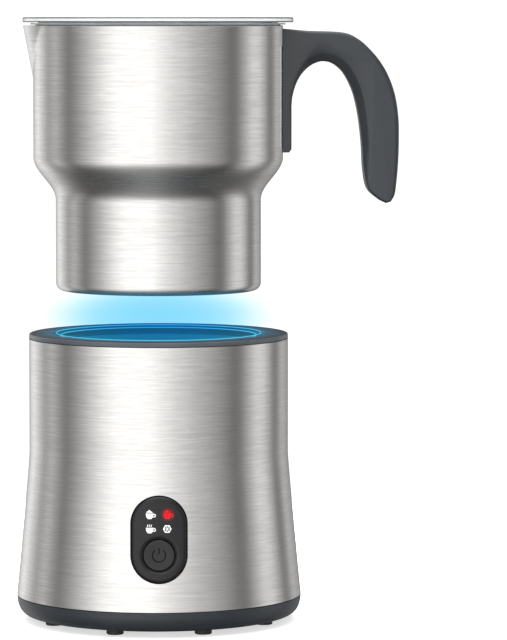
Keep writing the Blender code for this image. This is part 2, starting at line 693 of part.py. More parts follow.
def make_panel(skin, housing):
    """The control panel through the skin's opening, its button, light guides, lamps and control board."""
    middle = PANEL_BOTTOM + PANEL_HEIGHT / 2
    deep = 0.06
    upright = (math.pi / 2, 0, 0)
    panel = outline("control_panel", stadium(PANEL_WIDTH, PANEL_HEIGHT), deep, base, GLOSS, upright,
                    (0, -PANEL_BACK - deep / 2, middle))
    low, high = PANEL_BOTTOM - 0.003, PANEL_BOTTOM + PANEL_HEIGHT + 0.003
    steps = 4
    heights = [high + (low - high) * i / steps for i in range(steps + 1)]
    front = [(0, high)] + [(skin_radius(z) + PANEL_PROUD, z) for z in heights] + [(0, low)]
    combine(panel, turned("panel_front", front, base, None, segments=88), "INTERSECT")

    cut = stadium(PANEL_WIDTH + 2 * FIT, PANEL_HEIGHT + 2 * FIT)
    at = (0, -deep / 2 - PANEL_BACK + 0.012, middle)
    opening = outline("panel_opening", cut, deep, base, None, upright, at)
    combine(skin, opening, "DIFFERENCE")
    combine(housing, opening, "DIFFERENCE")

    recess = rod("button_recess", BUTTON_RECESS_RADIUS, -BUTTON_RECESS_DEPTH, 0.01, button, None, segments=24)
    hole = rod("button_hole", BUTTON_RADIUS + FIT, -0.02, 0.01, button, None, segments=24)
    combine(panel, recess, "DIFFERENCE")
    combine(panel, hole, "DIFFERENCE")

    for i, x, z in icon_places():
        face = math.sqrt((skin_radius(z) + PANEL_PROUD) ** 2 - x**2) - PANEL_FACE
        pocket = rod(f"guide_pocket_{i}", GUIDE_RADIUS + FIT, PANEL_BACK - 0.002, face, base, None, (x, 0, z),
                     upright, 16)
        combine(panel, pocket, "DIFFERENCE")
        guide_back = CONTROL_BOARD_FRONT + LED_THICKNESS + 3 * FIT
        rod(f"light_guide_{i}", GUIDE_RADIUS, guide_back, face - FIT, base, CLEAR, (x, 0, z), upright, 16)
        block(f"lamp_{i}", (LED_SIZE, LED_THICKNESS, LED_SIZE), base, LED,
              (x, -(CONTROL_BOARD_FRONT + FIT + LED_THICKNESS / 2), z), edge=0.0003)

    board_height = PANEL_HEIGHT - 2 * CONTROL_BOARD_MARGIN
    board = (PANEL_WIDTH - 2 * CONTROL_BOARD_EDGE, BOARD_THICKNESS, board_height)
    block("control_board", board, base, BOARD, (0, -(CONTROL_BOARD_FRONT - BOARD_THICKNESS / 2), middle))
    make_button()


def make_button():
    """The power button, which slides square to the panel's face, and the switch that it works."""
    behind = CONTROL_BOARD_FRONT + FIT + SWITCH_THICKNESS + BUTTON_SLACK + BUTTON_TRAVEL
    stem_end = button_face * math.cos(button_tilt) - behind
    edge = 0.0006
    key = [
        (0, -BUTTON_DROP - BUTTON_DISH),
        (BUTTON_RADIUS * 0.6, -BUTTON_DROP - BUTTON_DISH / 2),
        (BUTTON_RADIUS - edge, -BUTTON_DROP),
        (BUTTON_RADIUS, -BUTTON_DROP - edge),
        (BUTTON_RADIUS, -BUTTON_THICKNESS),
        (BUTTON_STEM, -BUTTON_THICKNESS),
        (BUTTON_STEM, -stem_end),
        (0, -stem_end),
    ]
    turned("power_button", key, button, GLOSS, segments=24)
    drop = stem_end * math.sin(button_tilt)
    at = (0, -(CONTROL_BOARD_FRONT + FIT + SWITCH_THICKNESS / 2), BUTTON_HEIGHT - drop)
    block("tact_switch", (SWITCH_SIZE, SWITCH_THICKNESS, SWITCH_SIZE), base, DARK, at, edge=0.0003)


def make_gland(skin, housing):
    """The rubber gland at the back through which the cord would leave, with its bore open."""
    outside = skin_radius(GLAND_HEIGHT)
    hole = rod("gland_hole", GLAND_RADIUS + FIT, HOUSING_INSIDE - 0.006, outside + 0.01, base, None,
               (0, 0, GLAND_HEIGHT), (-math.pi / 2, 0, 0))
    combine(skin, hole, "DIFFERENCE")
    combine(housing, hole, "DIFFERENCE")
    proud = outside + GLAND_PROUD
    profile = [
        (GLAND_RADIUS - 0.0006, proud),
        (GLAND_RADIUS, proud - 0.0006),
        (GLAND_RADIUS, proud - GLAND_DEPTH - GLAND_PROUD),
        (GLAND_BORE, proud - GLAND_DEPTH - GLAND_PROUD),
        (GLAND_BORE, proud),
    ]
    turned("cord_gland", profile, base, RUBBER, (0, 0, GLAND_HEIGHT), COARSE, (-math.pi / 2, 0, 0))


# ---------------------------------------------------------------- jug
def jug_radius(height):
    """Outside radius of the jug's wall above its corner, with a half-cosine shoulder."""
    rise = min(max((height - SHOULDER_BOTTOM) / SHOULDER_HEIGHT, 0.0), 1.0)
    return JUG_FOOT_RADIUS + (JUG_RADIUS - JUG_FOOT_RADIUS) * (1 - math.cos(math.pi * rise)) / 2


def spout_reach(angle, height):
    """How far the spout stands out at an angle from -X: a fold that widens and leans out towards the rim."""
    rise = (height - (JUG_HEIGHT - SPOUT_HEIGHT)) / SPOUT_HEIGHT
    if rise <= 0:
        return 0.0
    return SPOUT_LEAN * rise * max(0.0, 1 - abs(angle) / (SPOUT_HALF_ANGLE * rise))


def make_jug():
    """The drawn steel jug: a turned sheet with a pressed spout, given its wall."""
    shoulder_steps, spout_steps = 6, 2
    spout_foot = JUG_HEIGHT - SPOUT_HEIGHT
    heights = [JUG_HEIGHT - SPOUT_HEIGHT * i / spout_steps for i in range(spout_steps)] + [spout_foot]
    heights += [
        SHOULDER_BOTTOM + SHOULDER_HEIGHT * (1 - i / shoulder_steps) for i in range(shoulder_steps + 1)
    ]
    corner = arc((JUG_FOOT_RADIUS - JUG_CORNER, JUG_CORNER), JUG_CORNER, 0, -90, 3)
    profile = [(jug_radius(z), z) for z in heights] + corner + [(0, 0)]

    shape = bmesh.new()
    verts = [shape.verts.new((radius, 0, height)) for radius, height in profile]
    edges = [shape.edges.new(pair) for pair in zip(verts, verts[1:])]
    bmesh.ops.spin(
        shape, geom=verts + edges, cent=(0, 0, 0), axis=(0, 0, 1), angle=2 * math.pi, steps=FINE,
        use_merge=True,
    )
    bmesh.ops.remove_doubles(shape, verts=shape.verts, dist=1e-6)
    bmesh.ops.recalc_face_normals(shape, faces=shape.faces)
    if sum(face.normal.z for face in shape.faces if face.calc_center_median().z < 1e-6) > 0:
        bmesh.ops.reverse_faces(shape, faces=shape.faces)
    for vert in shape.verts:
        way = Vector((vert.co.x, vert.co.y, 0))
        if way.length > 1e-6:
            vert.co += way.normalized() * spout_reach(math.atan2(way.y, -way.x), vert.co.z)
    body = place("jug_body", mesh_of("jug_body", shape), jug, STEEL)
    wall = body.modifiers.new("wall", "SOLIDIFY")
    wall.thickness = JUG_WALL
    wall.offset = -1
    return body


def make_post():
    """The pin on the jug's floor that the whisk turns on."""
    foot = JUG_WALL + FIT
    profile = [
        (0, foot + POST_PIN_HEIGHT),
        (POST_PIN_RADIUS - 0.0005, foot + POST_PIN_HEIGHT),
        (POST_PIN_RADIUS, foot + POST_PIN_HEIGHT - 0.0006),
        (POST_PIN_RADIUS, foot + POST_FOOT_THICKNESS),
        (POST_FOOT_RADIUS, foot + POST_FOOT_THICKNESS),
        (POST_FOOT_RADIUS, foot),
        (0, foot),
    ]
    turned("whisk_post", profile, jug, PLAIN_STEEL, segments=COARSE)


def make_whisk():
    """The whisk: a hub and disc with two magnets, and the coil round its rim as one plain ring."""
    bore = POST_PIN_RADIUS + 0.0004
    bore_top = JUG_WALL + FIT + POST_PIN_HEIGHT + 0.0005 - (JUG_WALL + WHISK_LIFT)
    edge = 0.0005
    profile = [
        (0, WHISK_HUB_HEIGHT),
        (WHISK_HUB_RADIUS - 0.001, WHISK_HUB_HEIGHT),
        (WHISK_HUB_RADIUS, WHISK_HUB_HEIGHT - 0.001),
        (WHISK_HUB_RADIUS, WHISK_THICKNESS),
        (WHISK_RADIUS - edge, WHISK_THICKNESS),
        (WHISK_RADIUS, WHISK_THICKNESS - edge),
        (WHISK_RADIUS, edge),
        (WHISK_RADIUS - edge, 0),
        (bore, 0),
        (bore, bore_top),
        (0, bore_top),
    ]
    disc = turned("whisk_disc", profile, whisk, DARK, segments=20)
    thickness = 0.002
    for i, _, x, y in around(WHISK_MAGNET_CIRCLE, 2, 0):
        top = thickness + 2 * FIT
        pocket = rod(f"whisk_pocket_{i}", WHISK_MAGNET_RADIUS + FIT, -0.01, top, whisk, None, (x, y, 0))
        combine(disc, pocket, "DIFFERENCE")
        rod(f"whisk_magnet_{i}", WHISK_MAGNET_RADIUS, 0, thickness, whisk, MAGNET, (x, y, 0))
    centre = WHISK_RADIUS + FIT + WHISK_COIL_RADIUS
    section = arc((centre, WHISK_THICKNESS / 2), WHISK_COIL_RADIUS, 180, -180, 6)[:-1]
    turned("whisk_coil", section, whisk, PLAIN_STEEL, segments=24)


def make_lid():
    """The clear lid, a flat disc with a skirt into the jug, and its gasket on the rim and the skirt."""
    underside = GASKET_THICKNESS + 2 * FIT
    gasket_outside = JUG_INSIDE - FIT
    skirt = gasket_outside - GASKET_THICKNESS - FIT
    edge = 0.0004
    profile = [
        (0, underside + LID_THICKNESS),
        (LID_RADIUS - edge, underside + LID_THICKNESS),
        (LID_RADIUS, underside + LID_THICKNESS - edge),
        (LID_RADIUS, underside + edge),
        (LID_RADIUS - edge, underside),
        (skirt, underside),
        (skirt, underside - LID_SKIRT),
        (skirt - LID_SKIRT_WALL, underside - LID_SKIRT),
        (skirt - LID_SKIRT_WALL, underside),
        (0, underside),
    ]
    turned("lid_disc", profile, lid, CLEAR)
    flange = [
        (JUG_RADIUS + GASKET_OVERHANG, FIT + GASKET_THICKNESS),
        (JUG_RADIUS + GASKET_OVERHANG, FIT),
        (gasket_outside, FIT),
        (gasket_outside, -GASKET_DEPTH),
        (gasket_outside - GASKET_THICKNESS, -GASKET_DEPTH),
        (gasket_outside - GASKET_THICKNESS, FIT + GASKET_THICKNESS),
    ]
    turned("lid_gasket", flange, lid, SILICONE)


# ---------------------------------------------------------------- handle
def handle_outline():
    """The handle's side outline, from the wall's line and the rim: across is x beyond the jug's wall."""
    reach = HANDLE_REACH
    strap_in = STRAP_INSIDE - JUG_RADIUS
    strap_out = STRAP_OUTSIDE - JUG_RADIUS
    end = -STRAP_LENGTH
    over = smooth_run(
        [
            (strap_in, -HANDLE_TOP_DROP),
            (0.010, -0.0022),
            (reach - 0.0214, -0.0030),
            (reach - 0.0148, -0.0066),
            (reach - 0.0080, -0.0139),
            (reach - 0.0008, -0.0258),
            (reach, -0.0418),
            (reach - 0.0008, -0.0638),
            (reach - 0.0014, -0.0700),
        ],
        4,
    )
    under = smooth_run(
        [
            (reach - 0.0036, -0.0703),
            (reach - 0.0120, -0.0630),
            (reach - 0.0144, -0.0418),
            (reach - 0.0176, -0.0278),
            (reach - 0.0212, -0.0186),
            (reach - 0.0276, -0.0144),
            (strap_out + 0.0080, -0.0158),
            (strap_out + 0.0030, -0.0208),
            (strap_out, -0.0262),
        ],
        4,
    )
    tip = [(strap_out, end + 0.0014), (strap_out - 0.0007, end), (strap_in, end)]
    return over + under + tip


def make_handle():
    """The moulded handle on a bracket along the jug's wall, held by two screws."""
    upright = (math.pi / 2, 0, 0)
    grip = outline("handle", handle_outline(), HANDLE_WIDTH, jug, SLATE, upright, (JUG_RADIUS, 0, JUG_HEIGHT))
    rounding = grip.modifiers.new("edge", "BEVEL")
    rounding.width = HANDLE_EDGE
    rounding.segments = 1
    rounding.limit_method = "ANGLE"
    rounding.angle_limit = math.radians(50)

    plate = bmesh.new()
    steps = 8
    top, bottom = JUG_HEIGHT - BRACKET_TOP_DROP, JUG_HEIGHT - STRAP_LENGTH + 0.0015
    angles = [BRACKET_HALF_ANGLE * (2 * i / steps - 1) for i in range(steps + 1)]
    rows = [
        [plate.verts.new((BRACKET_INSIDE * math.cos(a), BRACKET_INSIDE * math.sin(a), z)) for a in angles]
        for z in (bottom, top)
    ]
    for i in range(steps):
        plate.faces.new((rows[0][i], rows[0][i + 1], rows[1][i + 1], rows[1][i]))
    bracket = place("handle_bracket", mesh_of("handle_bracket", plate), jug, PLAIN_STEEL)
    thick = bracket.modifiers.new("thickness", "SOLIDIFY")
    thick.thickness = BRACKET_THICKNESS
    thick.offset = 1

    sideways = (0, math.pi / 2, 0)
    shank_end = BRACKET_INSIDE + FIT
    head_out = STRAP_OUTSIDE - 0.0001
    head_in = head_out - HANDLE_SCREW_HEAD
    for i, drop in enumerate(HANDLE_SCREW_DROPS, 1):
        at = (0, 0, JUG_HEIGHT - drop)
        out = STRAP_OUTSIDE + 0.01
        bore = HANDLE_SCREW_RADIUS + FIT
        hole = rod(f"handle_hole_{i}", bore, BRACKET_INSIDE - 0.002, out, jug, None, at, sideways)
        counterbore = HANDLE_SCREW_HEAD_RADIUS + FIT
        sink = rod(f"handle_sink_{i}", counterbore, head_in - FIT, out, jug, None, at, sideways)
        combine(grip, hole, "DIFFERENCE")
        combine(grip, sink, "DIFFERENCE")
        combine(bracket, hole, "DIFFERENCE")
        screw = [
            (0, head_out),
            (HANDLE_SCREW_HEAD_RADIUS, head_out),
            (HANDLE_SCREW_HEAD_RADIUS, head_in),
            (HANDLE_SCREW_RADIUS, head_in),
            (HANDLE_SCREW_RADIUS, shank_end),
            (0, shank_end),
        ]
        turned(f"handle_screw_{i}", screw, jug, PLAIN_STEEL, at, COARSE, sideways)


def build():
    """Every piece, from the feet up."""
    make_feet()
    make_pan()
    skin = make_skin()
    housing = make_housing()
    make_ring()
    make_well()
    make_heating()
    make_motor()
    make_power_board()
    make_panel(skin, housing)
    make_gland(skin, housing)
    make_jug()
    make_post()
    make_whisk()
    make_lid()
    make_handle()


build()
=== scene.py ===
"""Finished looks for a milk frother: a steel jug with a clear lid and moulded handle over its induction base.

Metres, +Z up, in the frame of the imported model, whose turned axis stands at AXIS. Every new piece is a
surface worked out on a grid with numpy, and every material is a small recipe of nodes on Object coordinates
or on the piece's own UV map.
"""

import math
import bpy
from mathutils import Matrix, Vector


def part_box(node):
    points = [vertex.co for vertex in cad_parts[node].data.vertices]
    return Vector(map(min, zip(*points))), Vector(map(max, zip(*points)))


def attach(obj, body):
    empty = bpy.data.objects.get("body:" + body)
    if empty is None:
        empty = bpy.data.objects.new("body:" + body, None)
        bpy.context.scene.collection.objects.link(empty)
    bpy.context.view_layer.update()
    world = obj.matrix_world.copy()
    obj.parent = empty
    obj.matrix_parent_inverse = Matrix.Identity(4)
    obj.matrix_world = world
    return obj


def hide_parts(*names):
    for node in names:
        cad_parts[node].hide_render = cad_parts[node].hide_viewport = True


bl_info = {
    "name": "Milk Frother",
    "version": (1, 0, 0),
    "blender": (4, 5, 0),
    "location": "View3D > Sidebar > Frother",
    "description": "Builds the pieces, finishes and studio of a milk frother around its packed model",
    "category": "Object",
}

import bmesh
import bpy
import numpy as np
from bpy.props import FloatProperty, FloatVectorProperty, IntProperty, PointerProperty
from bpy.types import Operator, Panel, PropertyGroup

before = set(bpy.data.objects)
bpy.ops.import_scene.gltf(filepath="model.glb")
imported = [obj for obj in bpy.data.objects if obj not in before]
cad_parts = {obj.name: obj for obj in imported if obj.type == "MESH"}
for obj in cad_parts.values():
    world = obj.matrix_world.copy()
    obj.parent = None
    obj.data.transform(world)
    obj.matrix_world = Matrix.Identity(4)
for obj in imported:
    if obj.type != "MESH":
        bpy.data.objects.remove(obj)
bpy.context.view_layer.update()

# ---------------------------------------------------------------- places and sizes read from the model
MM = 0.001
FIT = 0.3 * MM  # air between neighbouring pieces
skin_low, skin_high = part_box("outer_skin")
ring_low, ring_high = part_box("top_ring")
pan_low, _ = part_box("base_pan")
panel_low, panel_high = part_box("control_panel")
liner_low, liner_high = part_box("well_liner")
jug_low, jug_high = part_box("jug_body")
lid_low, lid_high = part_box("lid_disc")
seal_low, seal_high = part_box("lid_gasket")
handle_low, handle_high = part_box("handle")
button_low, button_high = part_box("power_button")
disc_low, disc_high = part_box("whisk_disc")
coil_low, coil_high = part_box("whisk_coil")
post_low, post_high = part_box("whisk_post")
gland_low, gland_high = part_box("cord_gland")

AXIS = (ring_low.x + ring_high.x) / 2
BASE_RADIUS = (ring_high.x - ring_low.x) / 2
BASE_TOP = ring_high.z
PAN_RADIUS = -pan_low.y
PAN_BOTTOM = pan_low.z
SKIN_BOTTOM, SKIN_TOP = skin_low.z, skin_high.z
PAN_TOP = SKIN_BOTTOM - FIT
FLARE_TOP = 67.2 * MM  # height where the sleeve starts to widen downwards
FLARE_POWER = 1.1
SKIN_WALL = 0.6 * MM
RING_BOTTOM = SKIN_TOP + FIT
JUG_BOTTOM, JUG_TOP = jug_low.z, jug_high.z
JUG_RADIUS = jug_high.x - AXIS
JUG_FOOT = BASE_RADIUS - 10.8 * MM  # radius of the jug's narrow lower part
JUG_WALL = 0.7 * MM
SHOULDER_LOW, SHOULDER_TOP = 36 * MM, 53 * MM  # above the jug's bottom
WELL_RADIUS = JUG_FOOT + 0.6 * MM
PANEL_WIDTH = panel_high.x - panel_low.x
PANEL_HEIGHT = panel_high.z - panel_low.z
PANEL_PROUD = 0.7 * MM  # how far the panel's face stands out of the sleeve
SEAL_RADIUS, SEAL_WALL = JUG_RADIUS - JUG_WALL - FIT, 0.7 * MM
BUTTON_RADIUS = (button_high.x - button_low.x) / 2
BUTTON_HEIGHT = panel_low.z + PANEL_WIDTH / 2
KEY_SUNK = 0.3 * MM  # the key's edge below the panel's face
DISH_RADIUS, DISH_DEPTH = BUTTON_RADIUS * 0.9, 0.25 * MM
HANDLE_WIDTH = handle_high.y - handle_low.y

SMALL_COLUMNS = 40  # points round a foot or a screw's hole
SHARP_ANGLE = 38.0  # degrees between faces past which an edge is drawn hard
MERGE_DISTANCE = 1e-7
NOISE_LOW, NOISE_HIGH = 0.3, 0.7  # noise seldom leaves this range


# ---------------------------------------------------------------- properties
class FrotherShapes(PropertyGroup):
    """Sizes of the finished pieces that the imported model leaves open."""

    columns: IntProperty(
        name="Columns", description="Points round each large turned piece", default=224, subtype="UNSIGNED"
    )
    edge: FloatProperty(
        name="Edge", description="Radius of the rim's outer edge", default=0.6 * MM, unit="LENGTH"
    )
    panel_bevel: FloatProperty(
        name="Panel bevel", description="Width of the control panel's sloping rim",
        default=1.7 * MM, unit="LENGTH",
    )
    bowl: FloatProperty(
        name="Button bowl", description="Width of the hollow's lip round the button",
        default=1.5 * MM, unit="LENGTH",
    )
    spout_lean: FloatProperty(
        name="Spout lean", description="How far the spout's tip stands out", default=4.0 * MM, unit="LENGTH"
    )
    spout_height: FloatProperty(
        name="Spout height", description="Height of the spout's fold", default=21.0 * MM, unit="LENGTH"
    )
    spout_half_angle: FloatProperty(
        name="Spout half angle", description="Half the spout's width at the rim",
        default=math.radians(21), subtype="ANGLE",
    )
    wire_radius: FloatProperty(
        name="Whisk wire", description="Radius of the whisk's wire", default=0.34 * MM, unit="LENGTH"
    )
    wire_turns: IntProperty(
        name="Whisk turns", description="Turns of wire round the whisk", default=46, subtype="UNSIGNED"
    )


class FrotherFinishes(PropertyGroup):
    """Colours and strengths of the finishes."""

    steel: FloatVectorProperty(
        name="Steel", description="Colour of the brushed steel", default=(0.66, 0.65, 0.635), subtype="COLOR"
    )
    slate: FloatVectorProperty(
        name="Slate", description="Colour of the handle and the rim",
        default=(0.021, 0.025, 0.029), subtype="COLOR",
    )
    foot_grey: FloatVectorProperty(
        name="Pan", description="Colour of the bottom pan", default=(0.013, 0.017, 0.022), subtype="COLOR"
    )
    panel_black: FloatVectorProperty(
        name="Panel", description="Colour of the control panel",
        default=(0.0065, 0.0065, 0.0075), subtype="COLOR",
    )
    print_white: FloatVectorProperty(
        name="Print", description="Colour of the printed signs", default=(0.86, 0.87, 0.88), subtype="COLOR"
    )
    lamp_red: FloatVectorProperty(
        name="Lamp", description="Colour of the lit sign", default=(1.0, 0.012, 0.02), subtype="COLOR"
    )
    brushing: FloatProperty(
        name="Brushing", description="Contrast of the steel's streaks",
        default=0.18, min=0, max=1, subtype="FACTOR",
    )
    gloss: FloatProperty(
        name="Steel roughness", description="Mean roughness of the steel",
        default=0.29, min=0, max=1, subtype="FACTOR",
    )


class FrotherStage(PropertyGroup):
    """Brightness of the studio."""

    sky: FloatProperty(
        name="Sky", description="Brightness of the studio's walls", default=1.0, subtype="UNSIGNED"
    )
    floor_glow: FloatProperty(
        name="Floor glow", description="Light given off by the floor", default=0.62, subtype="UNSIGNED"
    )
    soft_box: FloatProperty(
        name="Soft box", description="Power of the soft light overhead", default=5.0, unit="POWER"
    )
    haze: FloatProperty(
        name="Haze", description="How strongly the blue haze over the well tints",
        default=19.0, subtype="UNSIGNED",
    )


# ---------------------------------------------------------------- meshes from grids
def signed_volume(points, faces):
    """Six times the volume inside: the sum over fan triangles of the product of their corners."""
    total = 0.0
    for k in range(1, faces.shape[1] - 1):
        a, b, c = points[faces[:, 0]], points[faces[:, k]], points[faces[:, k + 1]]
        total += float(np.einsum("ij,ij->", a, np.cross(b, c)))
    return total


def around(count):
    """Angles at even steps once round a circle."""
    return np.linspace(0, 2 * math.pi, count, endpoint=False)


def mesh_from_grid(name, grid, wrap_rows=False, flat_ends=False, sharp=SHARP_ANGLE):
    """A closed mesh from rows of points, each row a closed loop.

    The faces join point (i, j) to (i, j + 1), (i + 1, j + 1) and (i + 1, j). Where the rows don't wrap, the
    two end rows are closed, flat as one face each or else by a fan to the middle of the row. U runs once
    round each row and V is the way gone along the rows.
    """
    if not wrap_rows and not flat_ends:
        first = np.repeat(grid[:1].mean(axis=1, keepdims=True), grid.shape[1], axis=1)
        last = np.repeat(grid[-1:].mean(axis=1, keepdims=True), grid.shape[1], axis=1)
        grid = np.concatenate([first, grid, last])
    rows, columns = grid.shape[:2]
    points = grid.reshape(-1, 3)
    i = np.arange(rows if wrap_rows else rows - 1)[:, None]
    j = np.arange(columns)[None, :]
    corners = [(i, j), (i, j + 1), (i + 1, j + 1), (i + 1, j)]
    faces = np.stack([(a % rows) * columns + b % columns for a, b in corners], axis=-1).reshape(-1, 4)
    length = np.linalg.norm(np.diff(grid, axis=0, append=grid[:1]), axis=-1).mean(axis=1)
    way = np.concatenate([[0.0], np.cumsum(length)])
    u = np.stack([(b + 0 * a) / columns for a, b in corners], axis=-1).reshape(-1, 4)
    v = np.stack([way[a + 0 * b] for a, b in corners], axis=-1).reshape(-1, 4)
    inside_out = signed_volume(points - points.mean(axis=0), faces) < 0
    if inside_out:
        faces, u, v = faces[:, ::-1], u[:, ::-1], v[:, ::-1]
    loops = faces.tolist()
    if flat_ends:
        start = np.arange(columns)
        end = start + (rows - 1) * columns
        loops.append((start if inside_out else start[::-1]).tolist())
        loops.append((end[::-1] if inside_out else end).tolist())
    mesh = bpy.data.meshes.new(name)
    mesh.from_pydata(points.tolist(), [], loops)
    uv = np.stack([u, v], axis=-1).reshape(-1, 2)
    if flat_ends:
        uv = np.concatenate([uv, np.zeros((2 * columns, 2))])
    mesh.uv_layers.new(name="UVMap").data.foreach_set("uv", uv.astype(np.float32).ravel())
    return merged(mesh, sharp)


def smoothed(mesh, sharp=SHARP_ANGLE):
    """Shades the mesh smoothly, but for edges sharper than an angle in degrees."""
    mesh.shade_smooth()
    mesh.set_sharp_from_angle(angle=math.radians(sharp))
    return mesh


def merged(mesh, sharp):
    """Merges the points that coincide, then shades the mesh."""
    shape = bmesh.new()
    shape.from_mesh(mesh)
    bmesh.ops.remove_doubles(shape, verts=shape.verts, dist=MERGE_DISTANCE)
    shape.to_mesh(mesh)
    shape.free()
    mesh.validate()
    return smoothed(mesh, sharp)


def piece(name, mesh, body, slot, look, *nodes):
    """An object at the origin that rides on a body, stands for the nodes and wears the look."""
    made = bpy.data.objects.new(name, mesh)
    bpy.context.scene.collection.objects.link(made)
    mesh.materials.clear()
    mesh.materials.append(look)
    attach(made, body)
    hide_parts(*nodes)
    return made


def joined(name, parts):
    """One mesh from several closed ones."""
    shape = bmesh.new()
    for part in parts:
        shape.from_mesh(part)
        bpy.data.meshes.remove(part)
    mesh = bpy.data.meshes.new(name)
    shape.to_mesh(mesh)
    shape.free()
    return smoothed(mesh)


def cut(mesh, *cutters):
    """The mesh less the cutters, by exact Booleans."""
    body = bpy.data.objects.new("cut_body", mesh)
    bpy.context.scene.collection.objects.link(body)
    tools = []
    for cutter in cutters:
        tool = bpy.data.objects.new("cut_tool", cutter)
        bpy.context.scene.collection.objects.link(tool)
        tools.append(tool)
        step = body.modifiers.new("cut", "BOOLEAN")
        step.object, step.operation, step.solver = tool, "DIFFERENCE", "EXACT"
    graph = bpy.context.evaluated_depsgraph_get()
    result = bpy.data.meshes.new_from_object(body.evaluated_get(graph))
    result.name = mesh.name
    for used in (body, *tools):
        bpy.data.objects.remove(used)
    return result


# ---------------------------------------------------------------- profiles and turned pieces
def rounded(corners, steps=6):
    """A run of points through (r, z, radius) corners, each rounded by an arc tangent to both its sides.

    The arc of a corner goes from one tangent point to the other about the centre that lies on the bisector.
    A point is added just beyond each tangent point, so that smooth shading stays on the arc.
    """
    corners = np.array(corners, float)
    place, radius = corners[:, :2], corners[:, 2]
    run = [place[0]]
    for k in range(1, len(place) - 1):
        before, here, after = place[k - 1], place[k], place[k + 1]
        if radius[k] <= 0:
            run.append(here)
            continue
        into = (before - here) / np.linalg.norm(before - here)
        out = (after - here) / np.linalg.norm(after - here)
        half = math.acos(float(np.clip(into @ out, -1, 1))) / 2
        reach = radius[k] / math.tan(half)
        centre = here + (into + out) / np.linalg.norm(into + out) * radius[k] / math.sin(half)
        start, end = here + into * reach, here + out * reach
        a0 = math.atan2(*(start - centre)[::-1])
        sweep = (math.atan2(*(end - centre)[::-1]) - a0 + math.pi) % (2 * math.pi) - math.pi
        angles = a0 + sweep * np.linspace(0, 1, steps + 1)
        hold = 0.12 * radius[k]
        run.append(start + into * hold)
        run.extend(centre + radius[k] * np.stack([np.cos(angles), np.sin(angles)], axis=-1))
        run.append(end + out * hold)
    run.append(place[-1])
    return np.array(run)


def turned_grid(profile, columns, centre=(AXIS, 0.0)):
    """Points (x + r cos a, y + r sin a, z): a profile's points (r, z) carried round the upright at (x, y)."""
    a = around(columns)
    x, y = centre
    r, z = profile[:, :1], profile[:, 1:]
    return np.stack([x + r * np.cos(a), y + r * np.sin(a), z + 0 * a], axis=-1)


def turned(name, profile, columns=None, centre=(AXIS, 0.0), ring=False):
    """A turned mesh: its profile ends on the axis, or wraps on itself where it is a ring."""
    columns = columns or bpy.context.scene.frother_shapes.columns
    return mesh_from_grid(name, turned_grid(profile, columns, centre), wrap_rows=ring)


def refined(profile, step):
    """The profile with points added on its straight runs, so that none are further apart than the step."""
    gaps = np.linalg.norm(np.diff(profile, axis=0), axis=1)
    counts = np.maximum(1, np.ceil(gaps / step)).astype(int)
    runs = [
        profile[k] + (profile[k + 1] - profile[k]) * np.linspace(0, 1, counts[k], endpoint=False)[:, None]
        for k in range(len(counts))
    ]
    return np.concatenate([*runs, profile[-1:]])


def skin_radius(z):
    """Outside radius of the skin: straight above FLARE_TOP, then growing by a power of the depth below it."""
    depth = np.clip((FLARE_TOP - z) / (FLARE_TOP - PAN_TOP), 0, 1)
    return BASE_RADIUS + (PAN_RADIUS - BASE_RADIUS) * depth**FLARE_POWER


def skin_normal(points):
    """Unit vectors out of the skin: radial, tipped up by the slope of the radius over a small height."""
    step = 0.5 * MM
    slope = (skin_radius(points[:, 2] - step) - skin_radius(points[:, 2] + step)) / (2 * step)
    way = np.stack([points[:, 0] - AXIS, points[:, 1]], axis=-1)
    way /= np.linalg.norm(way, axis=1, keepdims=True)
    normal = np.column_stack([way, slope])
    return normal / np.linalg.norm(normal, axis=1, keepdims=True)


def catmull(knots, steps):
    """Points on the cubic through the knots whose tangent at each is half the span of its neighbours."""
    k = np.array(knots, float)
    k = np.concatenate([2 * k[:1] - k[1:2], k, 2 * k[-1:] - k[-2:-1]])
    p0, p1, p2, p3 = (k[i : len(k) - 3 + i, None] for i in range(4))
    t = np.linspace(0, 1, steps, endpoint=False)[None, :, None]
    run = (
        2 * p1 + (p2 - p0) * t + (2 * p0 - 5 * p1 + 4 * p2 - p3) * t**2 + (3 * p1 - p0 - 3 * p2 + p3) * t**3
    ) / 2
    return np.concatenate([run.reshape(-1, k.shape[1]), k[-2:-1]])


# ---------------------------------------------------------------- materials
def feed(tree, socket, value):
    """Links an output to a socket, or sets its number or colour."""
    if isinstance(value, bpy.types.NodeSocket):
        tree.links.new(value, socket)
    elif hasattr(value, "__len__") and socket.type == "RGBA" and len(value) == 3:
        socket.default_value = (*value, 1.0)
    else:
        socket.default_value = value


def add_node(tree, kind, inputs=(), output=0, **settings):
    """Adds one node with its settings and inputs, by index or name, and returns one of its outputs."""
    made = tree.nodes.new("ShaderNode" + kind)
    for key, value in settings.items():
        setattr(made, key, value)
    for key, value in dict(inputs).items():
        feed(tree, made.inputs[key], value)
    return made.outputs[output]


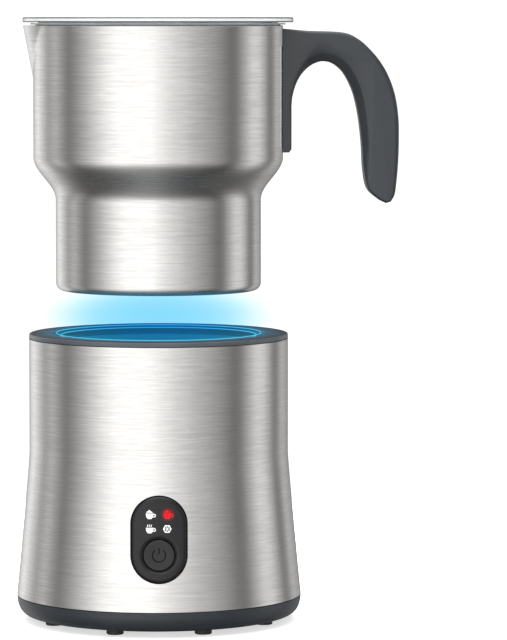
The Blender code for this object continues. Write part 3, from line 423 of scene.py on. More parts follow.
class Recipe:
    """A Principled material being wired: most methods add nodes and return the output that they end in."""

    def __init__(self, name, **constants):
        self.material = bpy.data.materials.new(name)
        self.material.use_nodes = True
        self.tree = self.material.node_tree
        self.shader = self.tree.nodes["Principled BSDF"]
        self.coordinates = self.node("TexCoord", output="Object")
        self.set(**constants)

    def set(self, **constants):
        """Puts constants or outputs into the shader's sockets, named with underscores for spaces."""
        for key, value in constants.items():
            feed(self.tree, self.shader.inputs[key.replace("_", " ")], value)
        return self

    def node(self, kind, inputs=(), output=0, **settings):
        """One node of the material."""
        return add_node(self.tree, kind, inputs, output, **settings)

    def mapped(self, scale, location=(0, 0, 0)):
        """Object coordinates less a location, times a scale for each axis, in cells to a metre."""
        moved = self.node("VectorMath", {0: self.coordinates, 1: location}, operation="SUBTRACT")
        return self.node("VectorMath", {0: moved, 1: scale}, operation="MULTIPLY")

    def noise(self, scale, detail=2.0, roughness=0.55, location=(0, 0, 0)):
        """Soft noise from 0 to 1 in cells of the given count to a metre."""
        place = self.mapped(scale, location)
        inputs = {"Vector": place, "Scale": 1.0, "Detail": detail, "Roughness": roughness}
        return self.node("TexNoise", inputs, output="Fac")

    def out_from_axis(self):
        """Distance from the turned axis."""
        flat = self.mapped((1, 1, 0), (AXIS, 0, 0))
        return self.node("VectorMath", {0: flat}, output="Value", operation="LENGTH")

    def spread(self, value, low, high, to_low, to_high, smooth=False):
        """The value from low..high laid onto to_low..to_high, and held beyond."""
        limits = {0: value, 1: low, 2: high, 3: to_low, 4: to_high}
        return self.node("MapRange", limits, interpolation_type="SMOOTHSTEP" if smooth else "LINEAR")

    def varied(self, noise, to_low, to_high):
        """Noise laid onto to_low..to_high."""
        return self.spread(noise, NOISE_LOW, NOISE_HIGH, to_low, to_high)

    def sum(self, *values):
        """The values added up."""
        total = values[0]
        for value in values[1:]:
            total = self.node("Math", {0: total, 1: value}, operation="ADD")
        return total

    def times(self, a, b):
        """The product of two values."""
        return self.node("Math", {0: a, 1: b}, operation="MULTIPLY")

    def tint(self, factor, dark, light):
        """A colour between two."""
        return self.node("Mix", {0: factor, 6: dark, 7: light}, output=2, data_type="RGBA")

    def mottled(self, noise, dark, light):
        """A colour that drifts between two with the noise."""
        return self.tint(self.varied(noise, 0, 1), dark, light)

    def bump(self, height, distance, strength=1.0):
        """Bumps of a height in metres on the shader's normal."""
        normal = self.node("Bump", {"Height": height, "Distance": distance, "Strength": strength})
        return self.set(Normal=normal)


def shaded(colour, factor):
    """A colour made lighter or darker."""
    return tuple(min(1.0, channel * factor) for channel in colour)


def brushed_steel(name):
    """Steel brushed round the axis: streaks long across and fine upwards, highlights drawn out upright."""
    finishes = bpy.context.scene.frother_finishes
    look = Recipe(name, Metallic=1.0, Anisotropic=0.75, Anisotropic_Rotation=0.25)
    place = (AXIS, 0, 0)
    fine = look.noise((120, 120, 3400), 3.0, 0.65, place)
    long = look.noise((40, 40, 1500), 2.0, 0.5, place)
    cloud = look.noise((22, 22, 34), 2.0, 0.5, place)
    streak = look.sum(look.times(fine, 0.6), look.times(long, 0.4))
    dark = shaded(finishes.steel, 1 - finishes.brushing)
    light = shaded(finishes.steel, 1 + finishes.brushing * 0.55)
    look.set(
        Base_Color=look.tint(look.spread(streak, 0.32, 0.68, 0.0, 1.0), dark, light),
        Roughness=look.sum(
            look.varied(streak, finishes.gloss + 0.05, finishes.gloss - 0.05), look.varied(cloud, -0.02, 0.02)
        ),
        Tangent=look.node("Tangent", direction_type="UV_MAP", uv_map="UVMap"),
    )
    look.bump(streak, 6e-6, 0.55)
    return look.material


def moulded(name, colour, roughness=0.46, grain=12e-6, shine=0.5, lit=(0.0, 0.0, 0.0), painted_glow_radius=0.0):
    """Moulded plastic: a fine spark-eroded grain, with faint clouds in its colour and gloss.

    Its own light is a painted glow, the plastic being no lamp: even, or dying away outside the glow's radius
    where that is given.
    """
    painted_glow_width = 9 * MM
    look = Recipe(name, Specular_IOR_Level=shine, Emission_Color=lit, Emission_Strength=1.0)
    if painted_glow_radius:
        # painted glow: full inside the radius, gone a glow's width beyond it
        near = look.spread(look.out_from_axis(), painted_glow_radius, painted_glow_radius + painted_glow_width, 1.0, 0.0, smooth=True)
        look.set(Emission_Color=look.tint(near, (0, 0, 0), lit))
    pits = look.noise((3200,) * 3, 2.0, 0.6)
    cloud = look.noise((60,) * 3, 3.0, 0.55)
    look.set(
        Base_Color=look.mottled(cloud, shaded(colour, 0.88), shaded(colour, 1.12)),
        Roughness=look.sum(
            look.varied(pits, roughness - 0.05, roughness + 0.05), look.varied(cloud, -0.025, 0.025)
        ),
    )
    look.bump(pits, grain, 0.6)
    return look.material


def panel_black_look():
    """Black panel plastic with a painted pool of soft red light round the lit sign."""
    finishes = bpy.context.scene.frother_finishes
    look = Recipe("panel_black", Specular_IOR_Level=0.34)
    grain = look.noise((2600,) * 3, 2.0, 0.6)
    cloud = look.noise((90,) * 3, 2.0, 0.5)
    colour = finishes.panel_black
    across, up = icon_places()[1]
    red_glow_centre = (AXIS + across, face_depth(across, up), up)
    distance = look.node("VectorMath", {0: look.coordinates, 1: red_glow_centre}, output="Value", operation="DISTANCE")
    # painted light: red glow from the lit sign, fading to none 3.3 mm from its middle
    glow = look.spread(distance, 1.0 * MM, 3.3 * MM, 0.16, 0.0, smooth=True)
    look.set(
        Base_Color=look.mottled(cloud, shaded(colour, 0.85), shaded(colour, 1.15)),
        Roughness=look.varied(grain, 0.33, 0.42),
        Emission_Color=look.tint(glow, (0, 0, 0), finishes.lamp_red),
        Emission_Strength=1.0,
    )
    look.bump(grain, 5e-6, 0.5)
    return look.material


def glowing(name, colour, strength):
    """A lit sign, its light a little uneven."""
    look = Recipe(name, Roughness=0.5, Specular_IOR_Level=0.1, Emission_Strength=strength)
    lit = look.mottled(look.noise((700,) * 3, 2.0, 0.5), shaded(colour, 0.75), colour)
    look.set(Base_Color=shaded(colour, 0.3), Emission_Color=lit)
    return look.material


def clear_plastic_look():
    """Clear plastic with faint flow marks."""
    look = Recipe("clear_plastic", IOR=1.46, Transmission_Weight=1.0)
    flow = look.noise((90, 90, 40), 2.0, 0.5)
    look.set(
        Base_Color=look.mottled(flow, (0.80, 0.82, 0.83), (0.90, 0.91, 0.92)),
        Roughness=look.varied(flow, 0.03, 0.09),
    )
    return look.material


def rubbery(name, colour, roughness=0.62):
    """Rubber or silicone with a dull fine grain."""
    return moulded(name, colour, roughness, 20e-6)


def bare_metal(name, colour, roughness=0.3, lines=(900, 900, 900)):
    """Plain metal with fine handling marks."""
    look = Recipe(name, Metallic=1.0)
    marks = look.noise(lines, 3.0, 0.6)
    look.set(
        Base_Color=look.mottled(marks, shaded(colour, 0.9), shaded(colour, 1.06)),
        Roughness=look.varied(marks, roughness - 0.06, roughness + 0.06),
    )
    look.bump(marks, 3e-6, 0.5)
    return look.material


def wound_copper_look():
    """Enamelled copper in turns: rings of equal width about the axis, with painted shade between the wires.
    """
    look = Recipe("copper_wire", Metallic=1.0)
    pitch = 0.9 * MM
    rings = look.node("Math", {0: look.times(look.out_from_axis(), 2 * math.pi / pitch)}, operation="SINE")
    enamel = look.noise((140,) * 3, 2.0, 0.5)
    # painted shade in the crevices between the turns
    edge = look.spread(rings, -1, 0.2, 0, 1)
    look.set(
        Base_Color=look.tint(edge, (0.12, 0.03, 0.012), (0.78, 0.36, 0.17)),
        Roughness=look.varied(enamel, 0.28, 0.42),
    )
    look.bump(rings, 120e-6, 0.8)
    return look.material


def circuit_board_look():
    """Green board: lighter tracks between oblong fields, and a fine weave in the gloss."""
    look = Recipe("circuit_board")
    fields = look.node(
        "TexBrick",
        {"Vector": look.mapped((260,) * 3), "Scale": 1.0, "Mortar Size": 0.06, "Color1": (0, 0, 0, 1),
         "Color2": (0.15, 0.15, 0.15, 1), "Mortar": (1, 1, 1, 1)},
    )
    weave = look.noise((1500,) * 3, 2.0, 0.5)
    look.set(
        Base_Color=look.tint(fields, (0.008, 0.075, 0.03), (0.03, 0.2, 0.08)),
        Roughness=look.varied(weave, 0.34, 0.5),
    )
    return look.material


LOOKS = {}


def make_looks():
    """Every finish by name, made once."""
    finishes = bpy.context.scene.frother_finishes
    LOOKS.update(
        skin_steel=brushed_steel("skin_steel"),
        jug_steel=brushed_steel("jug_steel"),
        slate=moulded("slate_plastic", tuple(finishes.slate), 0.42),
        pan=moulded("pan_plastic", tuple(finishes.foot_grey), 0.4),
        # The well: a lighter slate, with a painted blue glow all over it, though it is no lamp
        well=moulded("well_plastic_painted_light", shaded(finishes.slate, 1.6), 0.36, lit=(0.016, 0.19, 0.29)),
        # The rim: a lighter copy of the slate, painted light on its lit top, with a painted blue glow round
        # the well's mouth
        rim=moulded(
            "rim_plastic_painted_light", shaded(finishes.slate, 2.6), 0.34,
            lit=(0.006, 0.085, 0.14), painted_glow_radius=WELL_RADIUS,
        ),
        dark=moulded("dark_plastic", (0.03, 0.034, 0.038), 0.42),
        black=panel_black_look(),
        key=moulded("key_black", shaded(finishes.panel_black, 1.5), 0.4, 8e-6, 0.36),
        # The power sign: a darker copy of the panel's black with little shine, painted shade for the shade of
        # engraved lines
        mark=moulded("mark_black", shaded(finishes.panel_black, 0.3), 0.5, 4e-6, 0.12),
        white=moulded("print_white", tuple(finishes.print_white), 0.5, 4e-6),
        red=glowing("lamp_red", tuple(finishes.lamp_red), 0.72),
        clear=clear_plastic_look(),
        seal=rubbery("silicone", (0.33, 0.345, 0.36), 0.5),
        rubber=rubbery("rubber", (0.018, 0.018, 0.019), 0.66),
        steel=bare_metal("plain_steel", (0.58, 0.575, 0.565), 0.26),
        wire=bare_metal("whisk_wire", (0.66, 0.655, 0.645), 0.18),
        nickel=bare_metal("nickel_magnet", (0.66, 0.65, 0.62), 0.2),
        aluminium=bare_metal("aluminium", (0.72, 0.72, 0.72), 0.38, (300, 300, 2400)),
        copper=wound_copper_look(),
        ferrite=moulded("ferrite", (0.045, 0.045, 0.05), 0.55, 40e-6),
        board=circuit_board_look(),
        housing=moulded("housing_plastic", (0.27, 0.28, 0.29), 0.55, 30e-6),
        epoxy=moulded("led_epoxy", (0.82, 0.8, 0.7), 0.24, 4e-6),
    )


NODE_LOOKS = {
    "inner_housing": "housing", "coil_carrier": "housing", "motor_mount": "housing",
    "induction_coil": "copper", "choke": "copper",
    "coil_shield": "aluminium", "heat_sink": "aluminium", "temperature_sensor": "aluminium",
    "ferrite_bar": "ferrite", "motor_can": "steel", "motor_shaft": "steel", "pan_screw": "steel",
    "handle_bracket": "steel", "magnet_rotor": "dark", "capacitor": "dark", "tact_switch": "dark",
    "drive_magnet": "nickel", "whisk_magnet": "nickel",
    "power_board": "board", "control_board": "board", "light_guide": "clear", "lamp": "epoxy",
}


# ---------------------------------------------------------------- base
def panel_cutter():
    """A prism as wide as the panel and its gap, reaching from outside through the front of the skin."""
    outline = stadium(around(160), PANEL_WIDTH / 2 + FIT)
    front, back = -PAN_RADIUS - 5 * MM, -BASE_RADIUS + 12 * MM
    rows = [
        np.column_stack([AXIS + outline[:, 0], np.full(len(outline), y), outline[:, 1]])
        for y in (front, back)
    ]
    return mesh_from_grid("panel_cutter", np.array(rows), flat_ends=True)


def rod_along_y(name, x, z, radius, near, far, columns=64):
    """A cylinder along Y: circles of one radius at two depths."""
    a = around(columns)
    rows = [
        np.column_stack([x + radius * np.cos(a), np.full(columns, y), z + radius * np.sin(a)])
        for y in (near, far)
    ]
    return mesh_from_grid(name, np.array(rows), flat_ends=True)


def set_skin_normals(mesh):
    """Gives the sleeve's inner and outer faces the normals of the true curve, and leaves its edges flat."""
    along = 0.9
    count = len(mesh.polygons)
    face_normal = np.empty(count * 3)
    mesh.polygons.foreach_get("normal", face_normal)
    face_normal = face_normal.reshape(-1, 3)
    totals = np.empty(count, int)
    mesh.polygons.foreach_get("loop_total", totals)
    corner_vertex = np.empty(len(mesh.loops), int)
    mesh.loops.foreach_get("vertex_index", corner_vertex)
    points = np.empty(len(mesh.vertices) * 3)
    mesh.vertices.foreach_get("co", points)
    corner = points.reshape(-1, 3)[corner_vertex]
    of_face = np.repeat(face_normal, totals, axis=0)
    true = skin_normal(corner)
    agreement = np.einsum("ij,ij->i", of_face, true)[:, None]
    normal = np.where(agreement > along, true, np.where(agreement < -along, -true, of_face))
    mesh.normals_split_custom_set(normal.astype(np.float32).tolist())


def skin_mesh():
    """The sleeve: radius by skin_radius outside and a wall less inside, cut for the panel and the gland."""
    z = np.linspace(SKIN_BOTTOM, SKIN_TOP, 56)
    outside = np.column_stack([skin_radius(z), z])
    inside = np.column_stack([skin_radius(z) - SKIN_WALL, z])[::-6]
    inside = np.concatenate([inside, [[skin_radius(SKIN_BOTTOM) - SKIN_WALL, SKIN_BOTTOM]]])
    sleeve = turned("steel_sleeve", np.concatenate([outside, inside]), ring=True)
    gland_radius = (gland_high.x - gland_low.x) / 2
    middle = (gland_low.z + gland_high.z) / 2
    gland_tool = rod_along_y("gland_tool", AXIS, middle, gland_radius + FIT, 40 * MM, 70 * MM)
    mesh = cut(sleeve, panel_cutter(), gland_tool)
    mesh.shade_smooth()
    set_skin_normals(mesh)
    return mesh


def ring_profile():
    """The rim's section: a flat top with a rounded outer edge, two steps in its mouth and a skirt below."""
    edge = bpy.context.scene.frother_shapes.edge
    skirt = BASE_RADIUS - SKIN_WALL - FIT
    skirt_wall = 1.6 * MM
    foot = ring_low.z
    under = liner_high.z + FIT
    small = 0.18 * MM
    step = 0.4 * MM
    upper, lower = BASE_TOP - 1.0 * MM, BASE_TOP - 2.9 * MM
    corners = [
        (skirt - skirt_wall, foot, 0), (skirt - skirt_wall, under, 0), (WELL_RADIUS, under, 0),
        (WELL_RADIUS, lower, small), (WELL_RADIUS + step, lower, small),
        (WELL_RADIUS + step, upper, small), (WELL_RADIUS + 2 * step, upper, small),
        (WELL_RADIUS + 2 * step, BASE_TOP, 0.28 * MM), (BASE_RADIUS, BASE_TOP, edge),
        (BASE_RADIUS, RING_BOTTOM, small), (skirt, RING_BOTTOM, 0), (skirt, foot, 0),
    ]
    return rounded(corners)


def pan_profile():
    """The pan's section: a lip inside the sleeve, and outside a curve that turns in to the flat underside."""
    lip = skin_radius(SKIN_BOTTOM) - SKIN_WALL - 1.0 * MM
    lip_top = SKIN_BOTTOM + 4.5 * MM
    wall = 2.2 * MM
    lip_inside = lip - wall + 0.6 * MM
    floor = PAN_BOTTOM + wall
    brow = (PAN_RADIUS - 0.1 * MM, PAN_TOP - 1.0 * MM)
    inner = rounded(
        [
            (0, floor, 0), (PAN_RADIUS - 8.0 * MM, floor, 1.0 * MM),
            (PAN_RADIUS - 4.2 * MM, floor + 1.2 * MM, 1.0 * MM), (lip_inside, PAN_TOP - wall, 1.0 * MM),
            (lip_inside, lip_top, 0.2 * MM), (lip, lip_top, 0.2 * MM), (lip, PAN_TOP, 0),
            (PAN_RADIUS, PAN_TOP, 0.3 * MM), (*brow, 0),
        ]
    )
    outer = catmull(
        [
            brow, (PAN_RADIUS - 0.4 * MM, PAN_TOP - 3.0 * MM),
            (PAN_RADIUS - 1.3 * MM, PAN_BOTTOM + 2.7 * MM), (PAN_RADIUS - 2.9 * MM, PAN_BOTTOM + 1.05 * MM),
            (PAN_RADIUS - 4.8 * MM, PAN_BOTTOM + 0.25 * MM), (PAN_RADIUS - 6.8 * MM, PAN_BOTTOM),
        ],
        6,
    )
    return np.concatenate([inner, outer[1:], [[0.0, PAN_BOTTOM]]])


def foot_profile(radius, top):
    """A pad: a flat sole with a rounded edge, straight up to its top."""
    return rounded([(0, top, 0), (radius, top, 0.15 * MM), (radius, 0, 0.5 * MM), (0, 0, 0)])


def foot_recess(radius, top):
    """The hollow in the pan round a foot, as a profile from its ceiling down to below the floor."""
    wide, ceiling = radius + FIT, top + FIT
    return np.array([(0, ceiling), (wide, ceiling), (wide, -MM), (0, -MM)])


def screw_recess():
    """The hole in the pan for a screw: wide for the head, then narrow up through the pan's floor."""
    shank, head = 1.8 * MM, 3.2 * MM
    seat, ceiling = PAN_BOTTOM + 1.5 * MM, 20 * MM
    return np.array([(0, ceiling), (shank, ceiling), (shank, seat), (head, seat), (head, -MM), (0, -MM)])


def well_profile():
    """The cup's section: a wall with rounded corners in and out, hung by a flange under the ring."""
    wall = 1.6 * MM
    top, bottom = liner_high.z, liner_low.z
    flange = (liner_high.x - liner_low.x) / 2
    return rounded(
        [
            (0, bottom + wall, 0), (WELL_RADIUS, bottom + wall, 2.8 * MM), (WELL_RADIUS, top, 0.2 * MM),
            (flange, top, 0), (flange, top - wall, 0), (WELL_RADIUS + wall, top - wall, 0),
            (WELL_RADIUS + wall, bottom, 4.4 * MM), (0, bottom, 0),
        ],
        8,
    )


def gland_mesh():
    """The cord gland: a ring along Y whose collar is stepped in at its outer end, its bore open."""
    radius = (gland_high.x - gland_low.x) / 2
    near, far = gland_low.y, gland_high.y
    bore = 2.6 * MM
    small = 0.35 * MM
    groove = 0.45 * MM
    corners = [(bore, near, 0), (radius, near, 0)]
    corners += [(radius, far - 0.5 * MM, small), (radius - groove, far - 0.3 * MM, 0)]
    corners += [(radius - groove, far, 0.2 * MM), (bore + groove, far, small), (bore, far - groove, small)]
    profile = rounded([*corners, (bore, near, 0)])[:-1]
    a = around(72)
    middle = (gland_low.z + gland_high.z) / 2
    r, y = profile[:, :1], profile[:, 1:]
    grid = np.stack([AXIS + r * np.cos(a), y + 0 * a, middle + r * np.sin(a)], axis=-1)
    return mesh_from_grid("gland_ring", grid, wrap_rows=True)


# ---------------------------------------------------------------- control panel
def stadium(angle, radius):
    """Points where rays from the button's middle meet a tall outline with round ends of that radius.

    The outline is all that lies a radius from the upright line that joins the middles of its two ends.
    The lower end is the circle itself. Above it, a ray meets the straight side or else the upper circle.
    """
    rise = PANEL_HEIGHT - PANEL_WIDTH
    c, s = np.cos(angle), np.sin(angle)
    side = radius / np.maximum(np.abs(c), 1e-9)
    upper = rise * s + np.sqrt(np.maximum(radius**2 - (rise * c) ** 2, 0.0))
    on_side = side * s <= rise
    reach = np.where(s <= 0, radius, np.where(on_side, side, upper))
    return np.column_stack([reach * c, BUTTON_HEIGHT + reach * s])


def face_depth(x, z):
    """Y of the panel's face: on the skin's curve, stood out by PANEL_PROUD."""
    return -np.sqrt((skin_radius(z) + PANEL_PROUD) ** 2 - x**2)


def panel_mesh():
    """The panel as rings of points from the button's hole out to the rim, each at a depth below the face.

    Inside, the rings are circles about the button: up the hole, across the hollow and over its rounded lip.
    They blend by straight shares into outlines of the panel, then go down the rim by a quarter of an ellipse.
    The first ring and the last one, whose depth is None, lie on the panel's flat back.
    """
    shapes = bpy.context.scene.frother_shapes
    angle = around(256) - math.pi / 2
    hole = BUTTON_RADIUS + FIT
    lip, hollow = shapes.bowl, 0.65 * MM
    slope, side = 1.35 * MM, 0.3 * MM  # depth of the sloping rim, and of the straight side under it
    t = np.linspace(0, math.pi / 2, 9)
    circles = [(hole, None), (hole, hollow + 0.2 * MM), (hole + 0.08 * MM, hollow + 0.04 * MM)]
    circles += [(hole + 0.2 * MM, hollow)]
    circles += [(hole + 0.35 * MM + lip * (1 - math.cos(a)), hollow * (1 - math.sin(a))) for a in t]
    rings, depths = [], []
    for radius, depth in circles:
        rings.append(np.column_stack([radius * np.cos(angle), BUTTON_HEIGHT + radius * np.sin(angle)]))
        depths.append(depth)
    outside = PANEL_WIDTH / 2
    inner, outer = rings[-1], stadium(angle, outside - shapes.panel_bevel)
    for share in np.linspace(0, 1, 13)[1:]:
        rings.append(inner + (outer - inner) * share)
        depths.append(0.0)
    for a in t[1:]:
        rings.append(stadium(angle, outside - shapes.panel_bevel * (1 - math.sin(a))))
        depths.append(slope * (1 - math.cos(a)))
    for depth in (slope + side, None):
        rings.append(stadium(angle, outside))
        depths.append(depth)
    rows = []
    for ring, depth in zip(rings, depths):
        y = np.full(len(ring), panel_high.y) if depth is None else face_depth(ring[:, 0], ring[:, 1]) + depth
        rows.append(np.column_stack([AXIS + ring[:, 0], y, ring[:, 1]]))
    return mesh_from_grid("panel_shell", np.array(rows), wrap_rows=True, sharp=50)


def icon_places():
    """Across and height of the four signs, row by row from the top."""
    middle = panel_low.z + 23.8 * MM
    across, up = 3.4 * MM, 2.75 * MM
    return [(-across, middle + up), (across, middle + up), (-across, middle - up), (across, middle - up)]


def ribbon(path, width, closed=False):
    """The left and right edges of a flat band: each point of a path moved half the width along its normal."""
    path = np.array(path, float)
    if closed:
        way = np.roll(path, -1, axis=0) - np.roll(path, 1, axis=0)
    else:
        way = np.gradient(path, axis=0)
    way /= np.linalg.norm(way, axis=1, keepdims=True)
    normal = np.column_stack([-way[:, 1], way[:, 0]]) * width / 2
    return path + normal, path - normal


def slab(sections, closed, lay):
    """A thin closed body over a band: its two edges, above and below the face by lay."""
    left, right = sections
    corners = [lay(left, 1), lay(right, 1), lay(right, -1), lay(left, -1)]
    grid = np.stack(corners, axis=1)
    return mesh_from_grid("slab", grid, wrap_rows=closed, flat_ends=not closed)


def patch(outline, lay):
    """A thin closed body over a filled outline: rings from its middle to its edge and back underneath."""
    outline = np.array(outline, float)
    middle = outline.mean(axis=0)
    half = middle + (outline - middle) * 0.5
    return mesh_from_grid("patch", np.array([lay(half, 1), lay(outline, 1), lay(outline, -1), lay(half, -1)]))


def lay_on_panel(x, z, scale, height):
    """A function that lays sign points on the panel's face, just above it or just under it."""

    def lay(points, side):
        across, up = x + points[:, 0] * scale, z + points[:, 1] * scale
        return np.column_stack([AXIS + across, face_depth(across, up) - side * height, up])

    return lay


def ring_of(radius, start, end, count=28, centre=(0.0, 0.0)):
    """Points on an arc in degrees."""
    a = np.radians(np.linspace(start, end, count))
    return np.column_stack([centre[0] + radius * np.cos(a), centre[1] + radius * np.sin(a)])


def cup_outline():
    """A cup's bowl: a flat brim, sides that curve in, and a narrow foot."""
    side = [(1.36, 0.42, 0.12), (1.16, -0.74, 0.4), (0.6, -1.46, 0.2)]
    other = [(-x, y, radius) for x, y, radius in side[::-1]]
    return rounded([(0, 0.42, 0), *side, *other, (0, 0.42, 0)], 4)[:-1]


def foam_outline():
    """Foam piled over the brim: a low dome that comes to a soft peak."""
    right = [(1.15, 0.74), (0.9, 0.98), (0.45, 1.12)]
    left = [(-0.55, 1.2), (-0.95, 1.04), (-1.2, 0.74)]
    return np.concatenate([catmull([*right, (-0.12, 1.64), *left], 4), [[0.0, 0.74]]])


def cup_sign(lay, top):
    """A cup with a round handle, under foam or steam."""
    parts = [patch(cup_outline(), lay)]
    parts.append(slab(ribbon(ring_of(0.48, 110, -118, 22, (1.52, -0.3)), 0.28), False, lay))
    if top == "foam":
        parts.append(patch(foam_outline(), lay))
    else:
        for x in (-0.72, -0.08, 0.56):
            wisp = catmull([(x, 0.74), (x - 0.13, 0.96), (x + 0.1, 1.24), (x, 1.5)], 5)
            parts.append(slab(ribbon(wisp, 0.22), False, lay))
    return parts


def frost_sign(lay):
    """Six spokes with a hub inside a six-sided frame."""
    corners = ring_of(1.0, 0, 300, 6)
    parts = [slab(ribbon(1.3 * corners, 0.38, closed=True), True, lay)]
    for way in corners:
        parts.append(slab(ribbon([way * 0.3, way * 0.7, way * 1.1], 0.2), False, lay))
    parts.append(patch(0.3 * corners, lay))
    return parts


def button_frame():
    """The button's middle, the way out of its face and the way up it, from the skin's slope at its height."""
    out = skin_normal(np.array([[AXIS, -1.0, BUTTON_HEIGHT]]))[0]
    up = np.array([0.0, 0.0, 1.0]) - out * out[2]
    up /= np.linalg.norm(up)
    return np.array([AXIS, face_depth(0.0, BUTTON_HEIGHT), BUTTON_HEIGHT]), out, up


def lay_on_button(points, depth):
    """Points across and up the button's face, at a depth below the panel's."""
    face, out, up = button_frame()
    side = np.array([1.0, 0.0, 0.0])
    return face + points[..., :1] * side + points[..., 1:2] * up - np.asarray(depth)[..., None] * out


def dish(radius):
    """Depth of the key's shallow hollow at a distance from its middle, by a cosine that ends at its edge."""
    share = np.clip(radius / DISH_RADIUS, 0, 1)
    return KEY_SUNK + DISH_DEPTH * (1 + np.cos(math.pi * share)) / 2


def button_mesh():
    """The key: circles about its axis, hollow on top, rounded at the edge, with the stem behind."""
    face, out, _ = button_frame()
    skirt, stem = 5.0 * MM, 1.8 * MM
    radius = np.linspace(0.5 * MM, BUTTON_RADIUS * 0.88, 12)
    top = np.column_stack([radius, dish(radius)])
    corner = rounded([(DISH_RADIUS, KEY_SUNK, 0), (BUTTON_RADIUS, KEY_SUNK, 0.5 * MM),
                      (BUTTON_RADIUS, skirt, 0.2 * MM), (stem, skirt, 0)])
    end = min(float((face - np.array([AXIS, button_high.y, BUTTON_HEIGHT])) @ out), 9.0 * MM)
    profile = np.concatenate([top, corner, [[stem, end]]])
    a = around(96)
    circle = np.stack([np.cos(a), np.sin(a)], axis=-1)
    grid = lay_on_button(profile[:, None, :1] * circle, np.repeat(profile[:, 1:], len(a), axis=1))
    return mesh_from_grid("key_cap", grid)


def power_sign():
    """A broken ring and an upright bar, raised a little from the key's hollow face."""
    height = 0.07 * MM

    def lay(points, side):
        flat = points * MM
        return lay_on_button(flat, dish(np.linalg.norm(flat, axis=1)) - side * height)

    arc = slab(ribbon(ring_of(2.55, 128, 412, 48), 0.46), False, lay)
    bar = slab(ribbon([(0, 0.5), (0, 1.3), (0, 2.1), (0, 2.9)], 0.46), False, lay)
    return joined("power_sign", [arc, bar])


# ---------------------------------------------------------------- jug, lid and handle
def jug_radius(height):
    """Outside radius by height above the jug's bottom: two cylinders joined by half a cosine."""
    rise = np.clip((height - SHOULDER_LOW) / (SHOULDER_TOP - SHOULDER_LOW), 0, 1)
    return JUG_FOOT + (JUG_RADIUS - JUG_FOOT) * (1 - np.cos(math.pi * rise)) / 2


def spout_reach(angle, height):
    """How far the spout stands out, at an angle from -X: a fold that widens and leans out towards the rim.

    Across, it falls in a straight line from the crest to the fold's edge, softened at both by a small radius.
    """
    shapes = bpy.context.scene.frother_shapes
    soft = 0.07
    rise = np.clip((height - (JUG_TOP - JUG_BOTTOM - shapes.spout_height)) / shapes.spout_height, 0, 1)
    edge = shapes.spout_half_angle * np.maximum(rise, 1e-3)
    across = 1 - (np.sqrt((angle / edge) ** 2 + soft**2) - soft)
    fold = (across + np.sqrt(across**2 + soft**2)) / 2
    return shapes.spout_lean * rise * np.where(np.abs(angle) < 2.2 * edge, fold, 0.0) * (rise > 0)


def jug_angles():
    """Angles round the jug, more than three times as close about the spout as elsewhere."""
    near = math.pi + np.radians(np.arange(-32, 32.01, 0.5))
    far = math.pi + np.radians(np.arange(34, 326.01, 1.75))
    return np.concatenate([near, far])


def jug_mesh():
    """The drawn jug: a profile up the outside, over the rounded rim and down inside, its spout pushed out."""
    tall = JUG_TOP - JUG_BOTTOM
    fold = tall - bpy.context.scene.frother_shapes.spout_height
    start, end = JUG_FOOT - 9 * MM, 3.5 * MM  # radius and height where the bottom's bend starts and ends
    z = np.concatenate([
        np.linspace(end + 0.1 * MM, SHOULDER_LOW - MM, 12), np.linspace(SHOULDER_LOW, SHOULDER_TOP, 30),
        np.linspace(SHOULDER_TOP + MM, fold - MM, 8), np.linspace(fold, tall - 0.6 * MM, 44),
    ])
    wall = np.column_stack([jug_radius(z), z])
    bend = rounded([(start, 0, 0), (JUG_FOOT, 0, 3.0 * MM), (JUG_FOOT, end, 0)], 10)[1:-1]
    half = JUG_WALL / 2
    t = np.linspace(0, math.pi, 9)[1:-1]
    top = np.array([JUG_RADIUS - half, tall - half])
    rim = top + half * np.stack([np.cos(t), np.sin(t)], axis=-1)
    inside = JUG_FOOT - JUG_WALL
    inner_wall = np.column_stack([jug_radius(z) - JUG_WALL, z])[::-1]
    inner_bend = rounded([(inside, end, 0), (inside, JUG_WALL, 2.3 * MM), (start, JUG_WALL, 0)], 10)[1:-1]
    shares = (0.02, 0.25, 0.5, 0.7)
    under = [[JUG_FOOT * share, 0] for share in shares]
    floor = [[JUG_FOOT * share, JUG_WALL] for share in shares[::-1]]
    profile = np.concatenate([under, bend, wall, rim, inner_wall, inner_bend, floor])
    angles = jug_angles()
    off = angles % (2 * math.pi) - math.pi
    r = profile[:, :1] + spout_reach(off[None, :], profile[:, 1:])
    height = profile[:, 1:] + 0 * off[None, :]
    grid = np.stack([AXIS + r * np.cos(angles), r * np.sin(angles), JUG_BOTTOM + height], axis=-1)
    return mesh_from_grid("jug_shell", grid, sharp=50)


def lid_profile():
    """The lid's section: a disc with a rounded edge and a skirt down into the jug."""
    radius = (lid_high.x - lid_low.x) / 2
    top, under, foot = lid_high.z, lid_high.z - 2.0 * MM, lid_low.z
    skirt = SEAL_RADIUS - SEAL_WALL - FIT
    inside = skirt - 1.3 * MM
    return rounded(
        [
            (0, top, 0), (radius, top, 0.55 * MM), (radius, under, 0.55 * MM), (skirt, under, 0.15 * MM),
            (skirt, foot, 0.4 * MM), (inside, foot, 0.4 * MM), (inside, under, 0.3 * MM), (0, under, 0),
        ]
    )


